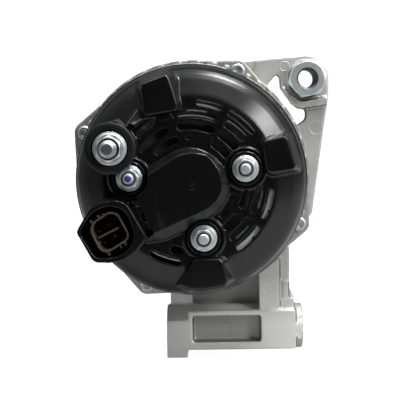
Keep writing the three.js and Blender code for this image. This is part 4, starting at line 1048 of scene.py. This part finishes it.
# painted shade: recesses, the web and the casing's sides take the second material, and the walls of
# openings and the leg's right side the third, darker one
OPENING_ZONE = scaled_about(EAR_OPENING, (59.5, 44.5), 1.10)
for face, x, y, z in placed_faces(drive_casting):
    normal = face.normal
    if -2.5 < x < 40 and -99.5 < z < -82 and -12.9 < y < -5.5:
        face.material_index = 1 if normal.y < -0.6 else 2
    elif -16 < x < 38.4 and -82 < z < -50 and y > -0.5 and normal.y < -0.4:
        face.material_index = 1
    elif (52 < x < 81 and 37 < z < 70 and 2.5 < y < 9.2 and abs(normal.y) < 0.72
          and math.hypot(x - 56.1, z - 64.5) > 4):
        face.material_index = 2
    elif 7.0 < y < 22.5 and abs(normal.y) < 0.55 and is_inside(OPENING_ZONE, x, z):
        face.material_index = 2
    elif math.hypot(x, z) < 70.5 and y < 21 and abs(normal.y) < 0.6:
        face.material_index = 1
    elif x > 50 and z < -40 and normal.x > 0.4:
        face.material_index = 2
    elif x > 60.05 and z < -76 and normal.y > -0.9:
        face.material_index = 1

# ejector pin marks, as shallow raised rings: x, z, y of the face, radius, material
# the mark in the pocket takes the pocket floor's painted shade
EJECTOR_MARKS = ((56.1, 64.5, 8, 2.9, CAST), (74.5, 27.5, 8, 4.2, CAST),
                 (44.3, -66.0, -11.2, 4.2, CAST), (19.0, -91.5, -6.9, 3.0, CAST_RECESS_PAINTED_SHADE))
for i, (x, z, y, radius, material) in enumerate(EJECTOR_MARKS, 1):
    mark = lathe([(radius - 0.45, y + 0.4), (radius - 0.4, y - 0.02), (radius - 0.2, y - 0.16),
                  (radius, y - 0.16), (radius + 0.2, y - 0.02), (radius + 0.25, y + 0.4)],
                 64, (x, z))
    place(shade(mark), "ejector_mark_%d" % i, material, "cast_aluminium")

# ---------------------------------------------------------------- stator
SLOTS = 36
SLOT_PITCH = 10.0       # degrees
SLOT_HALF, SLOT_DEPTH_R = 1.55, 58.6


def stator_core():
    mouth, floor = (math.degrees(math.asin(SLOT_HALF / r)) for r in (CORE_BORE, SLOT_DEPTH_R))
    bore = []
    for i in range(SLOTS):
        angle = SLOT_PITCH * i
        bore += [polar(CORE_BORE, angle - mouth), polar(SLOT_DEPTH_R, angle - floor),
                 polar(SLOT_DEPTH_R, angle + floor), polar(CORE_BORE, angle + mouth)]
        bore += [polar(CORE_BORE, angle + mouth + (SLOT_PITCH - 2 * mouth) * t)
                 for t in (0.33, 0.67)]
    blank = prism([polar(CORE_R, 2.5 * i) for i in range(144)], -6, 22)
    return shade(combine(blank, ("-", prism(bore, -8, 24))), 30)


place(stator_core(), "laminated_core", LAMINATED, "lamination", "stator_core")

WIRE_SIDES = 6


def add_wire(verts, faces, path, radius):
    """Adds a round wire along the path, closed at both ends."""
    first, last = len(verts), len(path) - 1
    points = [Vector(point) for point in path]
    for k, point in enumerate(points):
        heading = (points[min(k + 1, last)] - points[max(k - 1, 0)]).normalized()
        side = heading.cross(Vector((0, 1, 0)))
        if side.length < 0.15:
            side = heading.cross(Vector((point.x, 0, point.z)).normalized())
        side.normalize()
        normal = side.cross(heading).normalized()
        for i in range(WIRE_SIDES):
            angle = 2 * math.pi * i / WIRE_SIDES
            verts.append(tuple(point + side * radius * math.cos(angle)
                               + normal * radius * math.sin(angle)))
    for k in range(last):
        start = first + k * WIRE_SIDES
        faces += band(start, start + WIRE_SIDES, WIRE_SIDES)
    faces += [tuple(start + i for i in range(WIRE_SIDES))
              for start in (first, first + last * WIRE_SIDES)]


def stator_winding():
    verts, faces = [], []
    # end turns, each spanning 30 degrees: direction in y, start y, reach, largest radius
    for side, slot_y, reach, r_max in ((-1, -5.0, 15.0, 58.2), (1, 21.0, 11.5, 55.2)):
        for i in range(SLOTS):
            for layer in range(3):
                r_start = 52.2 + layer * 2.1
                r_end = min(r_max, r_start + 2.6)
                path = []
                for k in range(11):
                    t = k / 10
                    hump = math.sin(math.pi * t) ** 0.75
                    angle = SLOT_PITCH * i + 30.0 * (0.5 - 0.5 * math.cos(math.pi * t))
                    x, z = polar(r_start + (r_end - r_start) * t, angle)
                    path.append((x, slot_y + side * (reach - layer * 1.6) * hump, z))
                add_wire(verts, faces, path, 0.78)
    # straight wires inside the slots
    for i in range(SLOTS):
        for layer in range(4):
            x, z = polar(51.8 + layer * 2.0, SLOT_PITCH * i)
            add_wire(verts, faces, [(x, y, z) for y in (-6.5, 8, 22.5)], 0.85)
    return shade(make(verts, faces))


place(stator_winding(), "copper_winding", COPPER, "copper", "stator_winding")

# ---------------------------------------------------------------- rectifier, behind the slots
# name, short name, diode angles and radius, y of the outer face and of the lead's end, and
# the direction in y from face to lead
DIODE_SETS = (("positive", "pos", (125, 62, -14), 43.5, -54.6, -47, 1),
              ("negative", "neg", (93, 30, -45), 48.5, -42.4, -50.5, -1))


def diode_holes(row):
    angles, radius = DIODE_SETS[row][2:4]
    return rods([polar(radius, angle) for angle in angles], 6.45, -60, -40, 32)


sink = combine(prism(sector(37, 52, -62, 170, 64), -54, -52),
               ("+", prism(sector(27, 38, -30, 24, 16), -54, -52)),
               ("-", rod(OUTPUT, 4.2, -60, -40, 32)),
               ("-", diode_holes(0)),
               ("-", rods(STUDS[1:], 5.4, -60, -40, 32)),
               ("-", rods(STUDS[:1], 5.4, -60, -40, 32)))
place(shade(bake(bevel(sink, 0.25)), 40), "positive_sink_plate", PLATE, "plate_metal",
      "positive_heat_sink")

sink = combine(prism(sector(40, 58.5, -84, 186, 72), -46, -43.6), ("-", diode_holes(1)),
               ("-", rod(OUTPUT, 8.6, -60, -40, 32)))
# a tab with a rounded end reaches in to each stud
for (x, z), inner in zip(STUDS, (33, 31, 31)):
    angle = math.degrees(math.atan2(z, x))
    combine(sink, ("+", radial_block(inner, 46, -46, -43.6, 5, angle)))
    combine(sink, ("+", rod((x, z), 6, -46, -43.6, 32)))
combine(sink, ("-", rods(STUDS, 3.3, -60, -40, 32)))
place(shade(bake(bevel(sink, 0.25)), 40), "negative_sink_plate", PLATE, "plate_metal",
      "negative_heat_sink")

# can and lead: radius, distance in from the outer face
DIODE = ((0, 0), (5.9, 0), (6.3, 0.3), (6.3, 4.3), (6.0, 4.6), (4.4, 4.6), (3.8, 5.4),
         (0.75, 5.7))
for name, short, angles, radius, face_y, lead_y, way in DIODE_SETS:
    profile = [(r, face_y + way * depth) for r, depth in DIODE] + [(0.65, lead_y), (0, lead_y)]
    for i, angle in enumerate(angles, 1):
        place(shade(lathe(profile, 48, polar(radius, angle)), 40), "press_diode_%s_%d" % (short, i),
              PLATE, "plate_metal", "%s_diode_%d" % (name, i))

# backing plates: (start, end) angles
BACKINGS = ((32, 64), (66, 104), (106, 148), (-58, -10))
for i, (start, end) in enumerate(BACKINGS):
    plate = prism(sector(21.5, 36.4, start, end, 24), -54.6, -53.6)
    if i in (2, 3):
        combine(plate, *[("-", rod(STUDS[k], 7.0, -60, -50, 32)) for k in (2, 0)])
    place(shade(bake(bevel(plate, 0.15)), 40), "terminal_backing_%d" % (i + 1), BACKING,
          "plate_metal")

# conductor rails: inner and outer radius, start and end angle, outward y
RAILS = (
    (43.6, 47.2, -56, -32, -57.6), (43.6, 47.2, -29, -6, -57.6), (44.6, 46.0, 36, 60, -57.6),
    (42.4, 43.4, 66, 86, -57.6), (44.9, 45.8, 66, 86, -57.6), (39.4, 40.4, 36, 60, -57.8),
    (39.4, 40.4, -22, -7, -57.8), (39.4, 40.4, -52, -38, -57.8), (43.2, 44.2, 240, 262, -57.6),
    (36.4, 37.2, 68, 100, -57.6), (39.2, 40.2, 76, 92, -57.8))
RAIL_HOLES = ((34.15, -31.2), (43.1, -16.6))    # in the first two rails
for i, (inner, outer, start, end, y) in enumerate(RAILS):
    rail = prism(sector(inner, outer, start, end, 24), y, -54.9)
    if i < len(RAIL_HOLES):
        combine(rail, ("-", rod(RAIL_HOLES[i], 1.0, -60, -50, 24)))
    bake(bevel(rail, min(0.45 * (outer - inner), 1.0), segments=4))
    place(shade(rail, 70), "conductor_rail_%d" % (i + 1), TINNED, "plate_metal")

# regulator terminals in the window beside the boss
bar = prism([(-32.8, -11.9), (-31.1, -10.8), (-23.6, -26.2), (-25.0, -27.6)], -59.2, -56.0)
place(shade(bake(bevel(bar, 0.3)), 40), "regulator_terminal_bar", BROWN, "brown_plastic")
TERMINALS = ((-29.65, -12.15), (-27.77, -15.56), (-24.81, -21.13), (-22.75, -24.56))
for i, at in enumerate(TERMINALS, 1):
    pin = lathe([(0, -59.8), (0.45, -59.7), (0.7, -59.3), (0.7, -56), (0, -56)], 24, at)
    place(shade(pin, 60), "regulator_terminal_%d" % i, GOLD, "contact_gold")


# ---------------------------------------------------------------- bearings
def race_profiles(bore, outside, y0, y1, pitch_r, ball_r):
    """(radius, y) of the inner and outer rings, each with its ball groove."""
    middle, groove_half, groove_r = (y0 + y1) / 2, ball_r * 0.84, ball_r + 0.2
    land_in, land_out = pitch_r - ball_r * 0.62, pitch_r + ball_r * 0.62
    inner, outer = [], []
    for k in range(9):
        offset = -groove_half + 2 * groove_half * k / 8
        reach = math.sqrt(max(groove_r * groove_r - offset * offset, 0))
        inner.append((min(land_in, pitch_r - reach), middle + offset))
        outer.append((max(land_out, pitch_r + reach), middle + offset))
    return ([(bore, y0 + 0.4), (bore + 0.4, y0), (inner[0][0], y0), *inner,
             (inner[-1][0], y1), (bore + 0.4, y1), (bore, y1 - 0.4)],
            [(outside, y0 + 0.5), (outside - 0.5, y0), (outer[0][0], y0), *outer,
             (outer[-1][0], y1), (outside - 0.5, y1), (outside, y1 - 0.5)])


def ball(x, y, z, radius):
    bm = bmesh.new()
    bmesh.ops.create_icosphere(bm, subdivisions=3, radius=radius * MM)
    bmesh.ops.translate(bm, verts=bm.verts, vec=(x * MM, y * MM, z * MM))
    mesh = bpy.data.meshes.new("ball")
    bm.to_mesh(mesh)
    bm.free()
    return in_workshop(mesh)


def bearing(tag, bore, outside, y0, y1, pitch_r, ball_r, count):
    inner, outer = race_profiles(bore, outside, y0, y1, pitch_r, ball_r)
    place(shade(lathe(outer), 35), tag + "_outer_ring", STEEL, "steel",
          tag + "_bearing_outer_race")
    place(shade(lathe(inner), 35), tag + "_inner_ring", STEEL, "steel",
          tag + "_bearing_inner_race", body="rotor")
    middle = (y0 + y1) / 2
    parts = [tube((0, 0), pitch_r - 1.1, pitch_r + 1.1, middle - 1.6, middle + 1.6, 96)]
    for i in range(count):
        x, z = polar(pitch_r, 360 / count * i)
        parts.append(ball(x, middle, z, ball_r))
    place(shade(merged(parts), 50), tag + "_ball_set", STEEL, "steel", tag + "_bearing_cage",
          body=tag + "_cage_body")


bearing("front", bore=8.6, outside=23.5, y0=40, y1=54, pitch_r=16, ball_r=4.1, count=7)
bearing("rear", bore=7.6, outside=17.5, y0=-38, y1=-27, pitch_r=12.5, ball_r=2.9, count=8)

# ---------------------------------------------------------------- rotor
SHAFT = [
    (0, -61.5), (4.4, -61.5), (5.0, -60.9), (5.0, -43.2), (6.6, -43.2), (7.0, -42.8),
    (7.0, -39), (7.5, -38.6), (7.5, -26.8), (9.0, -26.8), (9.4, -26.4), (9.4, 39.2),
    (9.0, 39.6), (8.5, 39.6), (8.5, 82.7), (7.8, 83.0), (7.8, 84.5), (0, 84.5)]
shaft = lathe(SHAFT)
# the end thread is built with its tip at lower y, then mirrored to face +Y
thread = threaded((0, 0), 7.8, 1.5, -92.6, -84.2, depth=0.8, count=48, dome=0.0)
for vertex in thread.data.vertices:
    vertex.co.y = -vertex.co.y
thread.data.flip_normals()
place(shade(merged([shaft, thread]), 40), "rotor_shaft", STEEL, "steel", "shaft", body="rotor")


def refinish(name, material, width, angle=30):
    """Bevels a CAD piece and gives it a material."""
    piece = CAD_NODES[name]
    bevel(piece, width, angle=angle)
    piece.data.materials.clear()
    piece.data.materials.append(material)


for name in ("front_claw_pole", "rear_claw_pole"):
    refinish(name, STEEL, 0.8, angle=40)

# field coil, ribbed by its outer layer of turns
turns = [(40.6 if k % 2 else 40.1, 15.6 - 15.2 * k / 24) for k in range(25)]
coil = lathe([(24.3, 0.2), (24.3, 15.8), (40.25, 15.9), *turns, (40.25, 0.1)])
place(shade(coil, 35), "rotor_field_coil", COPPER, "copper", "field_coil", body="rotor")


def fan(y_disc, y_back, y_tip, tip_r, sweep, name, node):
    """Flat disc with nine curved blades up to y_tip; sweep is each blade's turn in degrees."""
    steps = []
    for i in range(9):
        leading, trailing = [], []
        for k in range(9):
            t = k / 8
            angle = 40.0 * i + (i % 3) * 2.0 + sweep * t * t
            x, z = polar(25 + (tip_r - 25) * t, angle)
            dx, dz = polar(0.8, angle + 90)
            leading.append((x + dx, z + dz))
            trailing.insert(0, (x - dx, z - dz))
        steps.append(("+", prism(leading + trailing, min(y_disc, y_tip), max(y_disc, y_tip))))
    disc = tube((0, 0), 10, tip_r * 0.86, min(y_disc, y_back), max(y_disc, y_back), 96)
    place(shade(bake(bevel(combine(disc, *steps), 0.22)), 40), name, PLATE, "steel", node,
          body="rotor")


fan(-12.3, -13.8, -22, tip_r=46, sweep=24, name="rear_cooling_fan", node="rear_fan")
fan(28.3, 29.8, 36, tip_r=47, sweep=-24, name="front_cooling_fan", node="front_fan")

SLEEVE = [(5.1, -60.2), (6.7, -60.2), (6.7, -52.9), (7.6, -52.9), (7.6, -51.1), (6.7, -51.1),
          (6.7, -44), (7.6, -44), (7.6, -43.4), (5.1, -43.4)]
place(shade(lathe(SLEEVE, 72), 30), "slip_ring_sleeve", COLLAR, "insulator",
      "slip_ring_insulator", body="rotor")
for name, node, y0, y1 in (("slip_ring_a", "slip_ring_outer", -59.6, -53.0),
                           ("slip_ring_b", "slip_ring_inner", -51.0, -44.1)):
    slip_ring = lathe([(6.8, y0), (7.8, y0), (8.0, y0 + 0.2), (8.0, y1 - 0.2), (7.8, y1),
                       (6.8, y1)], 72)
    place(shade(slip_ring, 30), name, COPPER, "copper", node, body="rotor")

# ---------------------------------------------------------------- pulley
GROOVES, GROOVE_PITCH = 6, 3.56
GROOVE = ((25.5, 1.42), (25.1, 1.62), (25.1, 1.94), (25.5, 2.14), (27.75, 3.36))
profile = [(8.6, 58), (20.2, 58), (21, 58.8), (21, 60.2), (27.8, 60.2), (28.6, 60.8),
           (28.6, 61.6)]
y = 61.6
for i in range(GROOVES):
    profile += [(radius, y + offset) for radius, offset in GROOVE]
    if i < GROOVES - 1:
        profile.append((28.0, y + 3.5))
        y += GROOVE_PITCH
        profile += [(28.0, y + 0.06), (27.75, y + 0.2)]
    else:
        profile.append((28.1, y + GROOVE_PITCH))
profile += [(28.3, 83.4), (27.9, 84), (24.4, 84), (23.9, 83.6), (22.2, 80.4), (21.4, 79.6),
            (15.8, 79), (15.0, 79.6), (14.8, 82.6), (14.4, 83), (8.6, 83)]
place(shade(lathe(profile, 160), 28), "belt_pulley", PULLEY_BLACK, "painted_pulley", "pulley",
      body="rotor")

nut = lathe([(7.95, 83.1), (13.9, 83.1), (14.4, 83.5), (14.2, 84.5), (12.5, 85.2),
             (7.95, 85.2)])
nut_hex = combine(prism(hex_points((0, 0), 24, 0), 84.4, 92),
                  ("&", lathe([(0, 84.0), (14.2, 84.0), (14.2, 89.6), (11.6, 91), (0, 91)])),
                  ("-", rod((0, 0), 7.95, 80, 100, 64)))
combine(nut, ("+", nut_hex))
place(shade(soften(nut, 0.35, 2, 0.4)), "pulley_lock_nut", ZINC, "zinc", "pulley_nut",
      body="rotor")

# ---------------------------------------------------------------- remaining CAD pieces
for names, material, width in (
    (("rectifier_terminal_block", "voltage_regulator", "brush_holder"), BLACK, 0.35),
    (("plug_pin_1", "plug_pin_2", "plug_pin_3", "plug_pin_4"), GOLD, 0.22),
    (("bearing_retainer_plate",), STEEL, 0.25),
    (("retainer_screw_1", "retainer_screw_2", "retainer_screw_3"), ZINC, 0.25),
    (("brush_1", "brush_2"), CARBON, 0.25),
):
    for name in names:
        refinish(name, material, width)

# the springs behind the brushes: copies of the CAD pieces in steel, hung on the housing
for i in (1, 2):
    source = CAD_NODES["brush_spring_%d" % i]
    mesh = source.data.copy()
    mesh.transform(source.matrix_world)
    mesh.materials.clear()
    mesh.materials.append(STEEL)
    spring = bpy.data.objects.new("brush_coil_spring_%d" % i, mesh)
    bpy.context.scene.collection.objects.link(spring)
    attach(spring, "housing")
    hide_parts("brush_spring_%d" % i)
    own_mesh(spring)

bpy.data.collections.remove(workshop)

# ---------------------------------------------------------------- stage, in metres
FLOOR_Z, FLOOR_HALF_WIDTH = -0.1085, 2.6
CURVE_START, CURVE_R = 0.9, 0.6


def studio_floor():
    """Floor that curves up into a backdrop behind the object."""
    profile = [(-0.24, FLOOR_Z), (CURVE_START, FLOOR_Z)]
    for k in range(1, 13):
        angle = math.pi / 2 * k / 12
        profile.append((CURVE_START + CURVE_R * math.sin(angle),
                        FLOOR_Z + CURVE_R * (1 - math.cos(angle))))
    profile.append((1.5, 2.4))
    verts = [(x, y + SET_BACK, z) for y, z in profile
             for x in (-FLOOR_HALF_WIDTH, FLOOR_HALF_WIDTH)]
    faces = [(2 * i, 2 * i + 1, 2 * i + 3, 2 * i + 2) for i in range(len(profile) - 1)]
    mesh = bpy.data.meshes.new("studio_floor")
    mesh.from_pydata(verts, [], faces)
    mesh.shade_smooth()
    floor = bpy.data.objects.new("studio_floor", mesh)
    bpy.context.scene.collection.objects.link(floor)
    shader = Shader("pale_floor")
    clouds = shader.noise(scale=3.0, detail=2, rough=0.5)
    colour = shader.ramp(clouds, (0.3, (0.44, 0.44, 0.44)), (0.7, (0.48, 0.48, 0.48)))
    # seen directly the sweep is bright, while the object is lit by it only faintly
    seen = shader.node("LightPath").outputs["Is Camera Ray"]
    mesh.materials.append(shader.finish(
        Base_Color=colour, Roughness=0.9, Emission_Color=(1.0, 1.0, 1.0),
        Emission_Strength=shader.math("MULTIPLY", seen, 0.95)))


def area_light(name, location, width, height, power, colour=(1, 1, 1)):
    """Rectangular light aimed just behind the lower boss's plane."""
    light = bpy.data.lights.new(name, "AREA")
    light.shape = "RECTANGLE"
    light.size, light.size_y = width, height
    light.energy = power
    light.color = colour
    lamp = bpy.data.objects.new(name, light)
    bpy.context.scene.collection.objects.link(lamp)
    lamp.location = Vector(location) + Vector((0, SET_BACK, 0))
    aim = Vector((0.0, -0.03, 0)) - Vector(location)
    lamp.rotation_euler = aim.to_track_quat("-Z", "Y").to_euler()


def studio_world():
    """Pale tent all round, open behind the camera; paler above and to the right."""
    world = bpy.data.worlds.new("studio")
    bpy.context.scene.world = world
    world.use_nodes = True
    tree = world.node_tree
    background = tree.nodes["Background"]
    feed(tree, background.inputs[0], (0.97, 0.985, 1.0))
    direction = add_node(tree, "TexCoord", {}).outputs["Generated"]
    axes = add_node(tree, "SeparateXYZ", {0: direction}).outputs
    strength = None
    # axis, start and end of the blend, strength at each
    for axis, start, end, low, high in (
            ("Y", -0.88, -0.12, 0.018, 0.78), ("Z", -0.6, 0.5, 0.22, 1.0),
            ("X", -0.8, 0.5, 0.46, 1.0), ("X", 0.62, 1.0, 1.0, 0.42)):
        factor = map_range(tree, axes[axis], start, end, low, high,
                           interpolation_type="SMOOTHSTEP")
        if strength is None:
            strength = factor
        else:
            strength = add_node(tree, "Math", {0: strength, 1: factor},
                                operation="MULTIPLY").outputs[0]
    feed(tree, background.inputs[1], strength)


def add_camera():
    camera = bpy.data.cameras.new("camera")
    camera.lens, camera.sensor_width, camera.sensor_fit = 100.0, 36.0, "HORIZONTAL"
    camera.clip_start, camera.clip_end = 0.02, 20
    viewer = bpy.data.objects.new("camera", camera)
    bpy.context.scene.collection.objects.link(viewer)
    right = Vector((0.99967258, 0.01792893, -0.01825604))
    up = Vector((0.01663079, 0.08695533, 0.99607338))
    forward = Vector((-0.01944599, 0.99605086, -0.08662868))
    pose = Matrix((right, up, -forward)).transposed().to_4x4()
    pose.translation = (0.01695, -0.666 + SET_BACK, 0.04327)
    viewer.matrix_world = pose
    bpy.context.scene.camera = viewer


studio_floor()
area_light("overhead", (0.33, -0.12, 0.96), width=0.26, height=0.34, power=11.9,
           colour=(1.0, 1.0, 0.99))
area_light("upper_left", (-0.33, -0.13, 0.97), width=0.25, height=0.30, power=2.0)
area_light("upper_right", (0.72, -0.55, 0.50), width=0.26, height=0.32, power=4.9)
studio_world()
add_camera()
bpy.context.scene.view_settings.view_transform = "Standard"
